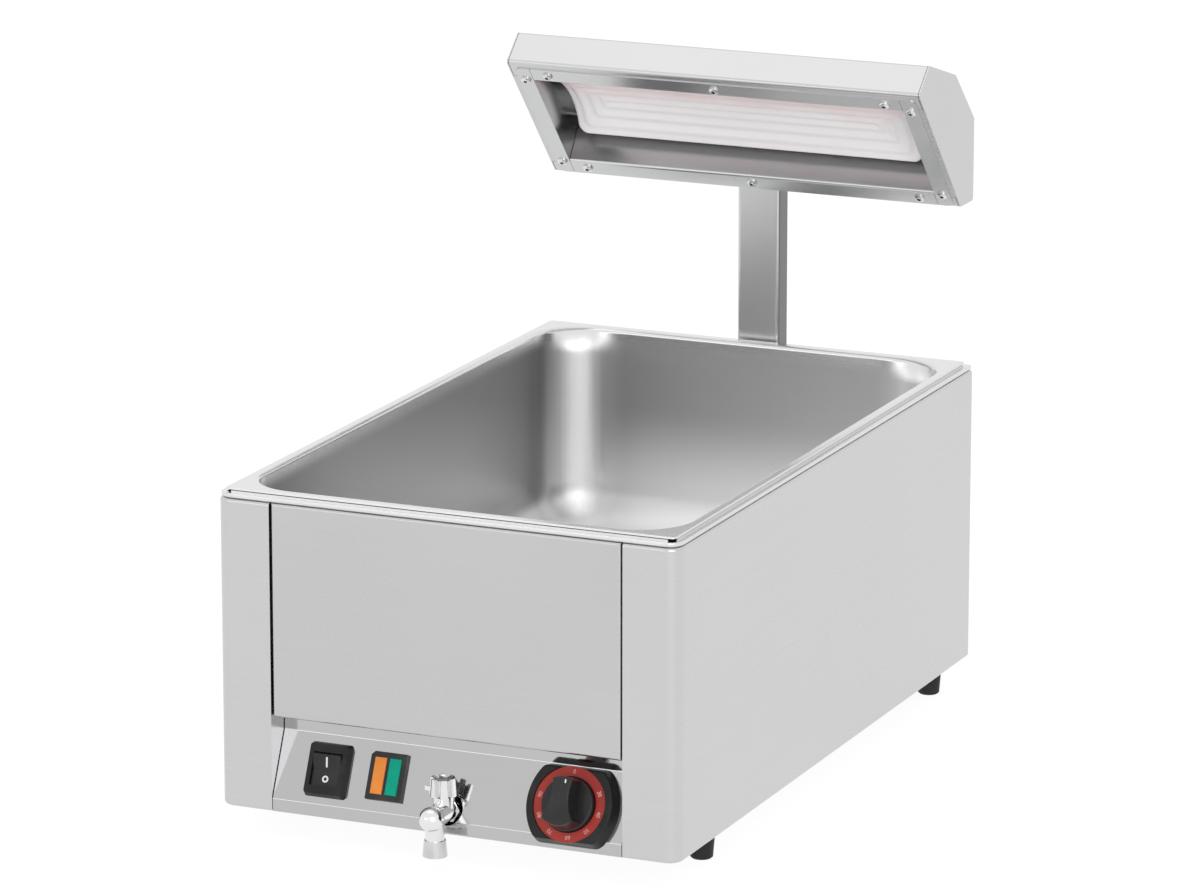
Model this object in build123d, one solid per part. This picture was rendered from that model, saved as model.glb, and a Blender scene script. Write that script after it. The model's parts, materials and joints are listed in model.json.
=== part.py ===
from build123d import *
import math
import os

# Fry warmer: a heated water basin in a folded steel casing, with a drain tap and its controls on a
# sloping panel, and an infrared hood on a post behind the basin.
# Frame: X across the front, Y from front to back, Z up from the floor. The casing is centred on X and Y.

# Sheet, bends and fits
SHEET = 1.0
SHEET_BEND = 2.0
SEAM = 1.2
FIT = 0.3
RUNNING = 0.05

# Casing
CASING_W = 330.0
CASING_D = 534.0
CASING_H = 211.0
FRONT_BEND = 10.0
REAR_BEND = 3.0
EDGE_BEND = 2.5
STRIP_W = 39.0
RETURN_D = 27.0
REAR_STRIP_W = 22.0
LEDGE_W = 7.0
FOOT_FLANGE_W = 28.0
RECESS_H = 65.3

# Feet and their screws
FOOT_H = 19.0
FOOT_TOP_R = 9.0
FOOT_SOLE_R = 7.5
FOOT_SOLE_CHAMFER = 1.0
FOOT_SIDE_INSET = 16.0
FOOT_FRONT_INSET = 78.0
FOOT_REAR_INSET = 39.0
FOOT_SCREW_R = 2.5
FOOT_SCREW_HEAD_R = 4.5
FOOT_SCREW_HEAD_H = 3.0
FOOT_SCREW_SINK = 6.0
FOOT_SCREW_STAND = 5.0

# Base plate
BASE_EDGE_GAP = 4.0
BASE_FRONT_GAP = 0.5
VENT_COUNT = 9
VENT_L = 60.0
VENT_W = 5.0
VENT_PITCH = 14.0
BASE_SCREW_R = 1.9
BASE_SCREW_HEAD_R = 3.6
BASE_SCREW_HEAD_H = 1.5
BASE_SCREW_L = 6.0
BASE_SCREW_PITCH = 150.0
BASE_SCREW_INSET = 20.0

# Basin and its rim
RIM_H = 6.0
RIM_SIDE_W = 12.0
RIM_END_W = 14.0
RIM_INSET = 0.5
RIM_EDGE_ROUND = 1.0
RIM_LEDGE_H = 3.2
RIM_STEP_IN = 4.0
RIM_STEP_CORNER = 3.0
RIM_NOTCH_L = 5.0
RIM_GROOVE_H = 0.7
RIM_GROOVE_D = 0.6
LIP_GAP = 0.8
BASIN_CLEAR = 5.7
BASIN_CORNER = 36.0
BASIN_FLOOR_BEND = 30.0
RIM_MOUTH_BEND = 3.0
SEAL_INSET = 2.6
SEAL_W = 2.2

# Sloping control panel
PANEL_TILT = 24.0
PANEL_KICK = 9.0
PANEL_SLOPE = 47.5
PANEL_LIP = 32.0
PANEL_TOP_FLANGE = 12.0
PANEL_GAP = 0.5

# Rocker switch
SWITCH_INSET = 37.5
SWITCH_RISE = 23.3
SWITCH_FRAME_W = 30.0
SWITCH_FRAME_L = 36.5
SWITCH_FRAME_H = 6.0
SWITCH_FRAME_DRAFT = 1.5
SWITCH_BODY_W = 24.0
SWITCH_BODY_L = 29.0
SWITCH_BODY_DEPTH = 24.0
SWITCH_TAB_L = 8.0
SWITCH_TAB_W = 6.3
SWITCH_TAB_T = 0.8
SWITCH_TAB_PITCH = 9.0
ROCKER_W = 20.0
ROCKER_R = 12.0
ROCKER_THROW = 20.0
ROCKER_GAP = 0.4
ROCKER_WAIST = 3.4
ROCKER_UNDER = 6.0
ROCKER_PIN_R = 1.5
ROCKER_PIN_L = 1.4
ROCKER_PIVOT_H = 0.5

# Double pilot lamp
PILOT_FROM_SWITCH = 42.5
PILOT_RISE = 24.0
PILOT_FRAME_W = 25.5
PILOT_FRAME_L = 32.0
PILOT_FRAME_H = 3.0
PILOT_CHAMFER = 2.5
PILOT_BODY_W = 22.0
PILOT_BODY_L = 28.0
PILOT_BODY_DEPTH = 18.0
LENS_W = 8.4
LENS_L = 24.6
LENS_PITCH = 10.6
LENS_SEAT = 4.0
LENS_PROUD = 0.8
LENS_ROUND = 0.6

# Thermostat
STAT_INSET = 37.5
STAT_RISE = 20.9
BEZEL_W = 64.0
BEZEL_L = 52.0
BEZEL_FLAT = 44.0
BEZEL_H = 10.0
BEZEL_DRAFT = 12.0
BEZEL_CORNER = 7.0
BEZEL_EDGE_ROUND = 1.5
BEZEL_DISH = 2.0
RING_R = 25.0
RING_T = 1.0
KNOB_R = 18.0
KNOB_RING_GAP = 0.6
KNOB_SKIRT_H = 5.0
KNOB_H = 19.0
KNOB_WAIST = 14.8
KNOB_WAIST_RISE = 6.0
KNOB_SCOOP_R = 34.0
KNOB_GRIP_DRAFT = 5.0
KNOB_EDGE_ROUND = 1.2
SHAFT_R = 3.0
SHAFT_IN_KNOB = 12.0
SHAFT_IN_BODY = 9.0
SHAFT_FLAT = 1.5
SHAFT_WAY_R = 5.0
STAT_BODY_W = 36.0
STAT_BODY_L = 30.0
STAT_BODY_DEPTH = 25.0
STAT_BODY_ROUND = 2.0
BULB_R = 3.0
BULB_L = 80.0
BULB_BACK = 95.0
CAPILLARY_R = 1.0
CAPILLARY_BEND = 10.0

# Drain tap
TAP_RISE = 16.7
TAP_HOLE_R = 11.0
TAP_TAIL_L = 7.0
TAP_HEX_R = 9.2
TAP_HEX_L = 5.0
TAP_BARREL_R = 7.6
TAP_BALL_R = 8.4
TAP_REACH = 21.0
TAP_SPOUT_R = 6.4
TAP_SPOUT_REACH = 16.0
TAP_SPOUT_DROP = 15.2
TAP_NIPPLE_R = 5.0
TAP_NIPPLE_L = 5.0
TAP_WAY_R = 3.2
TAP_PLUG_FORWARD = 3.0
TAP_PLUG_R = 5.0
TAP_PLUG_LOW = 6.0
TAP_BONNET_R = 7.0
TAP_BONNET_H = 10.9
TAP_STEM_R = 3.0
TAP_STEM_L = 7.5
NOZZLE_L = 10.9
NOZZLE_TOP_R = 7.2
NOZZLE_MOUTH_R = 8.2
NOZZLE_WAY_R = 4.2
HANDLE_GAP = 0.4
HANDLE_H = 12.0
HANDLE_R = 9.0
HANDLE_GROOVES = 6
HANDLE_GROOVE_D = 3.4
HANDLE_GROOVE_W = 4.6
HANDLE_TAPER = 3.5
HANDLE_POINTER = 13.2
HANDLE_POINTER_W = 3.0
HANDLE_POINTER_H = 3.0
HANDLE_POINTER_RISE = 2.0
HANDLE_DISH = 3.0
HANDLE_DISH_R = 9.5
HANDLE_CAP_R = 3.2
HANDLE_CAP_H = 1.4

# Drain pipe and union nut
PIPE_R = 8.0
PIPE_WAY_R = 6.0
PIPE_BEND = 20.0
PIPE_FLANGE_R = 14.0
PIPE_FLANGE_T = 2.0
DRAIN_BACK = 67.0
NUT_R = 11.0
NUT_L = 9.0
NUT_OVER_TAIL = 3.0

# Heater, straps and cut-out under the basin
HEATER_R = 4.0
HEATER_SIDE_INSET = 53.0
HEATER_FRONT_INSET = 72.0
HEATER_INNER_INSET = 147.0
HEATER_REAR_INSET = 102.0
STRAP_W = 20.0
STRAP_T = 1.2
STRAP_FOOT = 12.0
STRAP_SIDE_GAP = 5.0
STRAP_INSET = 62.0
CUTOUT_R = 9.0
CUTOUT_H = 9.0
CUTOUT_FLANGE_R = 12.0
CUTOUT_FLANGE_T = 1.2

# Terminal block and cable gland
TERMINAL_W = 58.0
TERMINAL_D = 22.0
TERMINAL_H = 18.0
TERMINAL_WAYS = 5
TERMINAL_HOLE_R = 2.6
TERMINAL_INSET = 77.0
GLAND_INSET = 35.0
GLAND_RISE = 38.0
GLAND_THREAD_R = 9.8
GLAND_THREAD_L = 9.0
GLAND_HEX_R = 13.5
GLAND_HEX_L = 6.0
GLAND_DOME_R = 11.5
GLAND_DOME_L = 23.4
GLAND_DOME_ROUND = 4.0
GLAND_WAY_R = 4.5
GLAND_NUT_L = 5.0

# Post and its bolts
POST_W = 32.0
POST_D = 18.0
POST_WALL = 1.5
POST_CORNER = 2.5
POST_FOOT_RISE = 85.0
POST_IN_HOOD = 26.0
POST_BOLT_R = 3.0
POST_BOLT_HEX_R = 5.8
POST_BOLT_HEAD_H = 4.0
POST_BOLT_LOW = 20.0
POST_BOLT_PITCH = 60.0
POST_LEAD_R = 6.0
POST_LEAD_RISE = 50.0

# Hood
HOOD_LIFT = 111.5
HOOD_TILT = 41.8
HOOD_MOUTH = 127.0
HOOD_BROW = 26.4
HOOD_ROOF = 54.0
HOOD_ROOF_FALL = 16.7
HOOD_FLOOR = 25.0
HOOD_BACK_H = 59.0
HOOD_BEND = 3.0
HOOD_SEAM = 0.4
HOOD_LIP_LOW = 10.8
HOOD_LIP_HIGH = 15.7
HOOD_LIP_SIDE = 12.0
HOOD_FOLD = 9.0
HOOD_BOLT_R = 2.5
HOOD_BOLT_HEAD_R = 4.6
HOOD_BOLT_HEAD_H = 2.6
HOOD_BOLT_L = 8.0
HOOD_BOLT_PITCH = 16.0
HOOD_BOLT_RISE = 13.0

# Reflector and its screws
REFLECTOR_T = 0.8
REFLECTOR_DEPTH = 34.0
REFLECTOR_FLARE = 9.0
FLANGE_LOW = 1.0
FLANGE_HIGH = 6.0
FLANGE_SIDE = 11.5
FLANGE_MARGIN = 4.5
TROUGH_LOW = 15.0
TROUGH_HIGH = 19.0
FLANGE_CORNER = 5.0
SCREW_HEAD_R = 3.6
SCREW_HEAD_H = 2.2
SCREW_SHANK_R = 1.9
SCREW_SHANK_L = 5.0
SCREW_ROW_INSET = 12.5
SCREW_SIDE_INSET = 12.5

# Ceramic element
ELEMENT_L = 264.0
ELEMENT_H = 62.0
ELEMENT_END_GAP = 8.0
ELEMENT_SET = 12.0
ELEMENT_SAG = 8.0
ELEMENT_T = 9.0
ELEMENT_CORNER = 7.0
ELEMENT_RIB_H = 1.0
ELEMENT_RIB_W = 4.0
ELEMENT_RIB_PITCH = 9.0
ELEMENT_RIB_MARGIN = 7.0
ELEMENT_LOOPS = 3
ELEMENT_LOOP_ROUND = 0.4
NECK_L = 40.0
NECK_W = 14.0
NECK_OUT = 12.0
CLIP_L = 70.0
CLIP_W = 24.0
CLIP_LEG = 6.0
CLIP_T = 0.8
LAMP_BLOCK_L = 34.0
LAMP_BLOCK_W = 20.0
LAMP_BLOCK_H = 13.0
LAMP_BLOCK_X = 75.0
LAMP_BLOCK_PITCH = 17.0
LAMP_BLOCK_HOLE_R = 2.4

# Planes and heights that follow from the sizes above
FRONT_Y = -CASING_D / 2
REAR_Y = CASING_D / 2
SIDE_X = CASING_W / 2
CASING_Z = FOOT_H
CASING_TOP = CASING_Z + CASING_H
SEAM_X = SIDE_X - STRIP_W
REAR_SEAM_X = SIDE_X - REAR_STRIP_W
RIM_TOP = CASING_TOP + RIM_H
RIM_LEDGE = CASING_TOP + RIM_LEDGE_H
OPEN_W = CASING_W - 2 * RIM_SIDE_W
OPEN_D = CASING_D - 2 * RIM_END_W
FRONT_PANEL_LOW = CASING_Z + RECESS_H
BASIN_UNDER = FRONT_PANEL_LOW + BASIN_CLEAR
BASE_Z = CASING_Z + SHEET
BASE_HALF_W = SIDE_X - BASE_EDGE_GAP
BASE_FRONT_Y = FRONT_Y + RETURN_D + BASE_FRONT_GAP
BASE_REAR_Y = REAR_Y - LEDGE_W - BASE_FRONT_GAP
FOOT_X = SIDE_X - FOOT_SIDE_INSET
FOOT_FRONT_Y = FRONT_Y + FOOT_FRONT_INSET
FOOT_REAR_Y = REAR_Y - FOOT_REAR_INSET

TILT = math.radians(PANEL_TILT)
PANEL_BEND_Z = CASING_Z + PANEL_KICK
PANEL_BACK_Y = FRONT_Y + PANEL_SLOPE * math.sin(TILT)
PANEL_TOP_Z = PANEL_BEND_Z + PANEL_SLOPE * math.cos(TILT)
# The panel's own frame: x across, y up the slope from the lower bend, z out of the face.
PANEL = Plane(origin=(0, FRONT_Y, PANEL_BEND_Z), x_dir=(1, 0, 0), z_dir=(0, -math.cos(TILT), math.sin(TILT)))

SWITCH_X = SWITCH_INSET - SEAM_X
PILOT_X = SWITCH_X + PILOT_FROM_SWITCH
STAT_X = SEAM_X - STAT_INSET

HEATER_TURN = (OPEN_W / 2 - HEATER_SIDE_INSET) / 3
HEATER_FRONT_Y = FRONT_Y + HEATER_FRONT_INSET
HEATER_INNER_Y = FRONT_Y + HEATER_INNER_INSET
HEATER_REAR_Y = REAR_Y - HEATER_REAR_INSET
STRAP_YS = (HEATER_INNER_Y + STRAP_INSET, HEATER_REAR_Y - STRAP_INSET)
BULB_X = 2 * HEATER_TURN
BULB_Y = FRONT_Y + BULB_BACK
CUTOUT_X = -2 * HEATER_TURN
CUTOUT_Y = HEATER_INNER_Y
GLAND_X = REAR_SEAM_X - GLAND_INSET
TERMINAL_Y = REAR_Y - TERMINAL_INSET

TAP_Z = CASING_Z + TAP_RISE
TAP_ON_SLOPE = (TAP_Z - PANEL_BEND_Z) / math.cos(TILT)
TAP_PLUG_Y = FRONT_Y - TAP_PLUG_FORWARD
TAP_BALL_Y = FRONT_Y - TAP_REACH
SPOUT_Y = FRONT_Y - TAP_SPOUT_REACH
TAP_HEX_Y = FRONT_Y + TAP_HEX_L
TAP_TAIL_Y = TAP_HEX_Y + TAP_HEX_L + TAP_TAIL_L
DRAIN_Y = FRONT_Y + DRAIN_BACK
HANDLE_LOW = TAP_Z + TAP_BONNET_H + HANDLE_GAP
SPOUT_END_Z = TAP_Z - TAP_SPOUT_DROP

POST_BACK_Y = REAR_Y + POST_D
POST_LOW = CASING_Z + POST_FOOT_RISE
HOOD_Z = RIM_TOP + HOOD_LIFT
POST_TOP = HOOD_Z + POST_IN_HOOD
POST_BOLT_ZS = (POST_LOW + POST_BOLT_LOW, POST_LOW + POST_BOLT_LOW + POST_BOLT_PITCH)
POST_LEAD_Z = POST_LOW + POST_LEAD_RISE
HOOD_BOLT_Z = HOOD_Z + HOOD_BOLT_RISE
HOOD_BOLT_XS = (-HOOD_BOLT_PITCH / 2, HOOD_BOLT_PITCH / 2)
HOOD_BACK_Y = POST_BACK_Y + SHEET
STRIP_IN = ELEMENT_L / 2 + ELEMENT_END_GAP
STRIP_OUT = STRIP_IN + FLANGE_SIDE
HOOD_HALF = STRIP_OUT + FLANGE_MARGIN
SCREW_ROW_X = STRIP_IN - SCREW_ROW_INSET
MOUTH = math.radians(HOOD_TILT)
SILL_Y = HOOD_BACK_Y - HOOD_FLOOR
# The mouth's own frame: x across, y up the mouth from its sill, z out of the hood.
HOOD = Plane(origin=(0, SILL_Y, HOOD_Z), x_dir=(1, 0, 0), z_dir=(0, -math.cos(MOUTH), -math.sin(MOUTH)))
# The hood's section: x up the mouth, y out of it, so depths into the hood are negative.
SECTION = Plane(origin=(0, SILL_Y, HOOD_Z), x_dir=(0, -math.sin(MOUTH), math.cos(MOUTH)), z_dir=(1, 0, 0))
FLANGE_TOP = HOOD_MOUTH - FLANGE_HIGH
TROUGH_TOP = HOOD_MOUTH - TROUGH_HIGH
ELEMENT_U = (TROUGH_LOW + TROUGH_TOP) / 2
REFLECTOR_BACK = REFLECTOR_DEPTH + REFLECTOR_T


def block(x, y, z):
    """Solid box between two limits on each axis."""
    size = Box(x[1] - x[0], y[1] - y[0], z[1] - z[0])
    return Pos((x[0] + x[1]) / 2, (y[0] + y[1]) / 2, (z[0] + z[1]) / 2) * size


def rod(start, end, radius):
    """Round bar from one point to another."""
    line = Vector(*end) - Vector(*start)
    return extrude(Plane(origin=start, z_dir=line) * Circle(radius), amount=line.length)


def hex_rod(start, end, radius):
    """Hexagonal bar from one point to another, a flat upwards; radius reaches its corners."""
    line = Vector(*end) - Vector(*start)
    section = RegularPolygon(radius, side_count=6, rotation=30)
    return extrude(Plane(origin=start, z_dir=line) * section, amount=line.length)


def folded(plane, points, bend, thickness, side, half_width):
    """Sheet folded along a line of points in a section plane, and as wide as two half widths."""
    line = FilletPolyline(*points, radius=bend)
    strip = make_face(offset(line, amount=thickness, side=side))
    return extrude(plane * strip, amount=half_width, both=True)


def footprint(width, depth, front, rear):
    """Rectangle with one corner radius at the front and another at the rear."""
    outline = Rectangle(width, depth)
    outline = fillet(outline.vertices().sort_by(Axis.Y)[:2], front)
    return fillet(outline.vertices().sort_by(Axis.Y)[-2:], rear)


def casing_block(inset):
    """The casing's outer form with every bend, set in by the same amount all round."""
    outline = footprint(CASING_W - 2 * inset, CASING_D - 2 * inset, FRONT_BEND - inset, REAR_BEND - inset)
    body = Pos(0, 0, CASING_Z + inset) * extrude(outline, amount=CASING_H - 2 * inset)
    ends = body.faces().sort_by(Axis.Z)
    return fillet(ends[0].edges() + ends[-1].edges(), EDGE_BEND - inset)


def side_panel():
    """Right side: wall, front corner strip with its return, rear strip, top ledge and foot flange."""
    outer = casing_block(0)
    panel = outer - casing_block(SHEET)
    tall = (CASING_Z - SHEET, CASING_TOP + SHEET)
    wide = (-CASING_W, SEAM_X)
    panel -= block(wide, (FRONT_Y - SHEET, REAR_Y + SHEET), tall)
    panel -= block((SEAM_X - SHEET, REAR_SEAM_X), (REAR_Y - FOOT_FLANGE_W, REAR_Y + SHEET), tall)
    ledge_y = (FRONT_Y + LEDGE_W, REAR_Y - LEDGE_W)
    panel -= block((SEAM_X - SHEET, SIDE_X - LEDGE_W), ledge_y, (CASING_TOP - 2 * SHEET, CASING_TOP + SHEET))
    flange_y = (FRONT_Y + FOOT_FLANGE_W, REAR_Y - FOOT_FLANGE_W)
    under = (CASING_Z - SHEET, CASING_Z + 2 * SHEET)
    panel -= block((SEAM_X - SHEET, SIDE_X - FOOT_FLANGE_W), flange_y, under)
    wall = block((SEAM_X, SEAM_X + SHEET), (FRONT_Y, FRONT_Y + RETURN_D), (CASING_Z, FRONT_PANEL_LOW))
    wall += block((SEAM_X, SEAM_X + SHEET), (FRONT_Y, FRONT_Y + LEDGE_W), (FRONT_PANEL_LOW, CASING_TOP))
    panel += wall & outer
    for y in (FOOT_FRONT_Y, FOOT_REAR_Y):
        panel -= rod((FOOT_X, y, CASING_Z - SHEET), (FOOT_X, y, CASING_Z + 2 * SHEET), FOOT_SCREW_R + FIT)
    for x, y in base_screw_places():
        panel -= rod((abs(x), y, CASING_Z - SHEET), (abs(x), y, CASING_Z + 2 * SHEET), BASE_SCREW_R + FIT)
    return panel


def tray(half_width, low, high, face_y, inward):
    """Lifted-in panel with its four edges folded towards the inside of the casing."""
    def form(inset):
        near = face_y + inward * inset
        far = face_y + inward * (LEDGE_W + inset)
        ys = (min(near, far), max(near, far))
        body = block((-half_width + inset, half_width - inset), ys, (low + inset, high - inset))
        face = body.faces().sort_by(Axis.Y)[0 if inward > 0 else -1]
        return fillet(face.edges(), SHEET_BEND - inset)

    return form(0) - form(SHEET)


def front_panel():
    """Plain panel between the corner strips, down to the edge over the controls."""
    return tray(SEAM_X - SEAM, FRONT_PANEL_LOW, CASING_TOP, FRONT_Y, 1)


def rear_panel():
    """Rear panel with the holes for the post's bolts and lead and for the cable gland."""
    panel = tray(REAR_SEAM_X - SEAM, CASING_Z, CASING_TOP, REAR_Y, -1)
    through = (REAR_Y + SHEET, REAR_Y - 2 * SHEET)
    for z in POST_BOLT_ZS:
        panel -= rod((0, through[0], z), (0, through[1], z), POST_BOLT_R + FIT)
    panel -= rod((0, through[0], POST_LEAD_Z), (0, through[1], POST_LEAD_Z), POST_LEAD_R)
    gland_z = CASING_Z + GLAND_RISE
    return panel - rod((GLAND_X, through[0], gland_z), (GLAND_X, through[1], gland_z), GLAND_THREAD_R + FIT)


def control_panel():
    """Folded panel: rear lip, kick, slope with the cut-outs, upright and top flange."""
    top = FRONT_PANEL_LOW - SHEET
    points = [
        (FRONT_Y + PANEL_LIP, CASING_Z),
        (FRONT_Y, CASING_Z),
        (FRONT_Y, PANEL_BEND_Z),
        (PANEL_BACK_Y, PANEL_TOP_Z),
        (PANEL_BACK_Y, top),
        (PANEL_BACK_Y - PANEL_TOP_FLANGE, top),
    ]
    panel = folded(Plane.YZ, points, SHEET_BEND, SHEET, Side.RIGHT, SEAM_X - PANEL_GAP)
    depth = 4 * SHEET
    switch = Pos(SWITCH_X, SWITCH_RISE) * Rectangle(SWITCH_BODY_W + 2 * FIT, SWITCH_BODY_L + 2 * FIT)
    pilot = Pos(PILOT_X, PILOT_RISE) * Rectangle(PILOT_BODY_W + 2 * FIT, PILOT_BODY_L + 2 * FIT)
    shaft = Pos(STAT_X, STAT_RISE) * Circle(SHAFT_WAY_R)
    tap = Pos(0, TAP_ON_SLOPE) * Circle(TAP_HOLE_R)
    for hole in (switch, pilot, shaft, tap):
        panel -= extrude(PANEL * hole, amount=depth, both=True)
    return panel


def base_screw_places():
    """Screws through the base plate into the foot flanges, clear of the feet."""
    x = SIDE_X - BASE_SCREW_INSET
    return [(side * x, row * BASE_SCREW_PITCH) for side in (-1, 1) for row in (-1, 0, 1)]


def foot_places():
    """Centres of the four feet by name."""
    return {
        "foot_front_left": (-FOOT_X, FOOT_FRONT_Y),
        "foot_front_right": (FOOT_X, FOOT_FRONT_Y),
        "foot_rear_left": (-FOOT_X, FOOT_REAR_Y),
        "foot_rear_right": (FOOT_X, FOOT_REAR_Y),
    }


def base_plate():
    """Bottom plate on the foot flanges, with a row of vent slots under the heater."""
    plate = block((-BASE_HALF_W, BASE_HALF_W), (BASE_FRONT_Y, BASE_REAR_Y), (BASE_Z, BASE_Z + SHEET))
    low, high = BASE_Z - SHEET, BASE_Z + 2 * SHEET
    for row in range(VENT_COUNT):
        y = (row - (VENT_COUNT - 1) / 2) * VENT_PITCH
        plate -= Pos(0, y, low) * extrude(SlotOverall(VENT_L, VENT_W), amount=high - low)
    for x, y in foot_places().values():
        plate -= rod((x, y, low), (x, y, high), FOOT_SCREW_R + FIT)
    for x, y in base_screw_places():
        plate -= rod((x, y, low), (x, y, high), BASE_SCREW_R + FIT)
    return plate


def base_screws():
    """Pan-head screws that hold the base plate, heads below the flanges."""
    screws = []
    for x, y in base_screw_places():
        head = rod((x, y, CASING_Z - BASE_SCREW_HEAD_H), (x, y, CASING_Z), BASE_SCREW_HEAD_R)
        screws.append(head + rod((x, y, CASING_Z), (x, y, CASING_Z + BASE_SCREW_L), BASE_SCREW_R))
    return Compound(children=screws)


def foot(x, y):
    """Tapered rubber foot with a sunk screw hole."""
    body = Cone(FOOT_SOLE_R, FOOT_TOP_R, FOOT_H, align=(Align.CENTER, Align.CENTER, Align.MIN))
    body = chamfer(body.edges().sort_by(Axis.Z)[0], FOOT_SOLE_CHAMFER)
    body -= rod((0, 0, 0), (0, 0, FOOT_SCREW_SINK + FOOT_SCREW_HEAD_H), FOOT_SCREW_HEAD_R + FIT)
    body -= rod((0, 0, 0), (0, 0, FOOT_H), FOOT_SCREW_R + FIT)
    return Pos(x, y, 0) * body


def foot_screws():
    """One screw up through each foot, its flange and the base plate."""
    screws = []
    for x, y in foot_places().values():
        seat = FOOT_SCREW_SINK + FOOT_SCREW_HEAD_H
        head = rod((x, y, FOOT_SCREW_SINK), (x, y, seat), FOOT_SCREW_HEAD_R)
        screws.append(head + rod((x, y, seat), (x, y, BASE_Z + SHEET + FOOT_SCREW_STAND), FOOT_SCREW_R))
    return Compound(children=screws)


def rim_step(inset):
    """Outline of the rim's upper step, set in by an amount."""
    step = RIM_INSET + RIM_STEP_IN + inset
    corner = RIM_STEP_CORNER - inset
    return footprint(CASING_W - 2 * step, CASING_D - 2 * step, corner, corner)


def rim_form(inset):
    """The rim's form, a low ledge with a step up to the flat top, set in and lowered by the same amount."""
    low = CASING_TOP + LIP_GAP
    lip = RIM_INSET + inset
    lower = footprint(CASING_W - 2 * lip, CASING_D - 2 * lip, FRONT_BEND - inset, REAR_BEND - inset)
    form = Pos(0, 0, low) * extrude(lower, amount=RIM_LEDGE - inset - low)
    return form + Pos(0, 0, low) * extrude(rim_step(inset), amount=RIM_TOP - inset - low)


def rim_cuts():
    """Groove under the edge of the rim's flat top, and the open corners where the step's folds meet."""
    high = RIM_TOP - RIM_EDGE_ROUND
    ring = rim_step(-RIM_GROOVE_D) - rim_step(RIM_GROOVE_D)
    groove = Pos(0, 0, high - RIM_GROOVE_H) * extrude(ring, amount=RIM_GROOVE_H)
    x, y = SIDE_X - RIM_INSET - RIM_STEP_IN, REAR_Y - RIM_INSET - RIM_STEP_IN
    corner = block((x - RIM_NOTCH_L, x + SHEET), (y - RIM_NOTCH_L, y + SHEET), (RIM_LEDGE, high))
    right = [corner, mirror(corner, about=Plane.XZ)]
    return [groove, *right, *[mirror(cut, about=Plane.YZ) for cut in right]]


def basin():
    """Deep basin with a rolled mouth, a stepped rim and a lip folded down all round."""
    rim = rim_form(0)
    for level in (-1, -2):
        shelf = rim.faces().filter_by(Axis.Z).sort_by(Axis.Z)[level]
        rim = fillet(shelf.outer_wire().edges(), RIM_EDGE_ROUND)
    rim -= rim_form(SHEET)

    def tub(wall, bottom):
        """Straight-sided tub with rounded upright corners and a rounded floor edge."""
        outline = RectangleRounded(OPEN_W + 2 * wall, OPEN_D + 2 * wall, BASIN_CORNER + wall)
        form = Pos(0, 0, bottom) * extrude(outline, amount=RIM_TOP - bottom)
        return fillet(form.faces().sort_by(Axis.Z)[0].edges(), BASIN_FLOOR_BEND + wall)

    body = rim + tub(SHEET, BASIN_UNDER) - tub(0, BASIN_UNDER + SHEET)
    for level, bend in ((-1, RIM_MOUTH_BEND), (-2, RIM_MOUTH_BEND - SHEET)):
        flat = body.faces().filter_by(Axis.Z).sort_by(Axis.Z)[level]
        body = fillet(flat.inner_wires()[0].edges(), bend)
    body -= rim_cuts()
    return body - rod((0, DRAIN_Y, BASIN_UNDER - SHEET), (0, DRAIN_Y, BASIN_UNDER + 2 * SHEET), PIPE_WAY_R)


def rim_seal():
    """Sealing frame between the casing's top and the underside of the rim's ledge."""
    corner = REAR_BEND - SEAL_INSET

    def outline(inset):
        return footprint(CASING_W - 2 * inset, CASING_D - 2 * inset, FRONT_BEND - inset, corner)

    frame = outline(SEAL_INSET) - outline(SEAL_INSET + SEAL_W)
    return Pos(0, 0, CASING_TOP) * extrude(frame, amount=RIM_LEDGE_H - SHEET)


def post():
    """Rectangular tube bolted to the rear panel, open at the top inside the hood."""
    centre_y = REAR_Y + POST_D / 2
    wall = 2 * POST_WALL
    tube = RectangleRounded(POST_W, POST_D, POST_CORNER)
    tube -= RectangleRounded(POST_W - wall, POST_D - wall, POST_CORNER - POST_WALL)
    body = Pos(0, centre_y, POST_LOW) * extrude(tube, amount=POST_TOP - POST_LOW)
    for z in POST_BOLT_ZS:
        body -= rod((0, REAR_Y - SHEET, z), (0, POST_BACK_Y + SHEET, z), POST_BOLT_R + FIT)
    body -= rod((0, REAR_Y - SHEET, POST_LEAD_Z), (0, centre_y, POST_LEAD_Z), POST_LEAD_R)
    for x in HOOD_BOLT_XS:
        body -= rod((x, centre_y, HOOD_BOLT_Z), (x, POST_BACK_Y + SHEET, HOOD_BOLT_Z), HOOD_BOLT_R + FIT)
    return body


def post_bolts():
    """Hexagon bolts through the post and the rear panel."""
    bolts = []
    end_y = REAR_Y - SHEET - 2 * POST_BOLT_HEAD_H
    for z in POST_BOLT_ZS:
        head = hex_rod((0, POST_BACK_Y, z), (0, POST_BACK_Y + POST_BOLT_HEAD_H, z), POST_BOLT_HEX_R)
        bolts.append(head + rod((0, end_y, z), (0, POST_BACK_Y, z), POST_BOLT_R))
    return Compound(children=bolts)


def post_nuts():
    """Hexagon nuts of the post's bolts, inside the casing."""
    nuts = []
    face_y = REAR_Y - SHEET
    for z in POST_BOLT_ZS:
        nut = hex_rod((0, face_y, z), (0, face_y - POST_BOLT_HEAD_H, z), POST_BOLT_HEX_R)
        nuts.append(nut - rod((0, face_y, z), (0, face_y - POST_BOLT_HEAD_H, z), POST_BOLT_R + RUNNING))
    return Compound(children=nuts)


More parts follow.
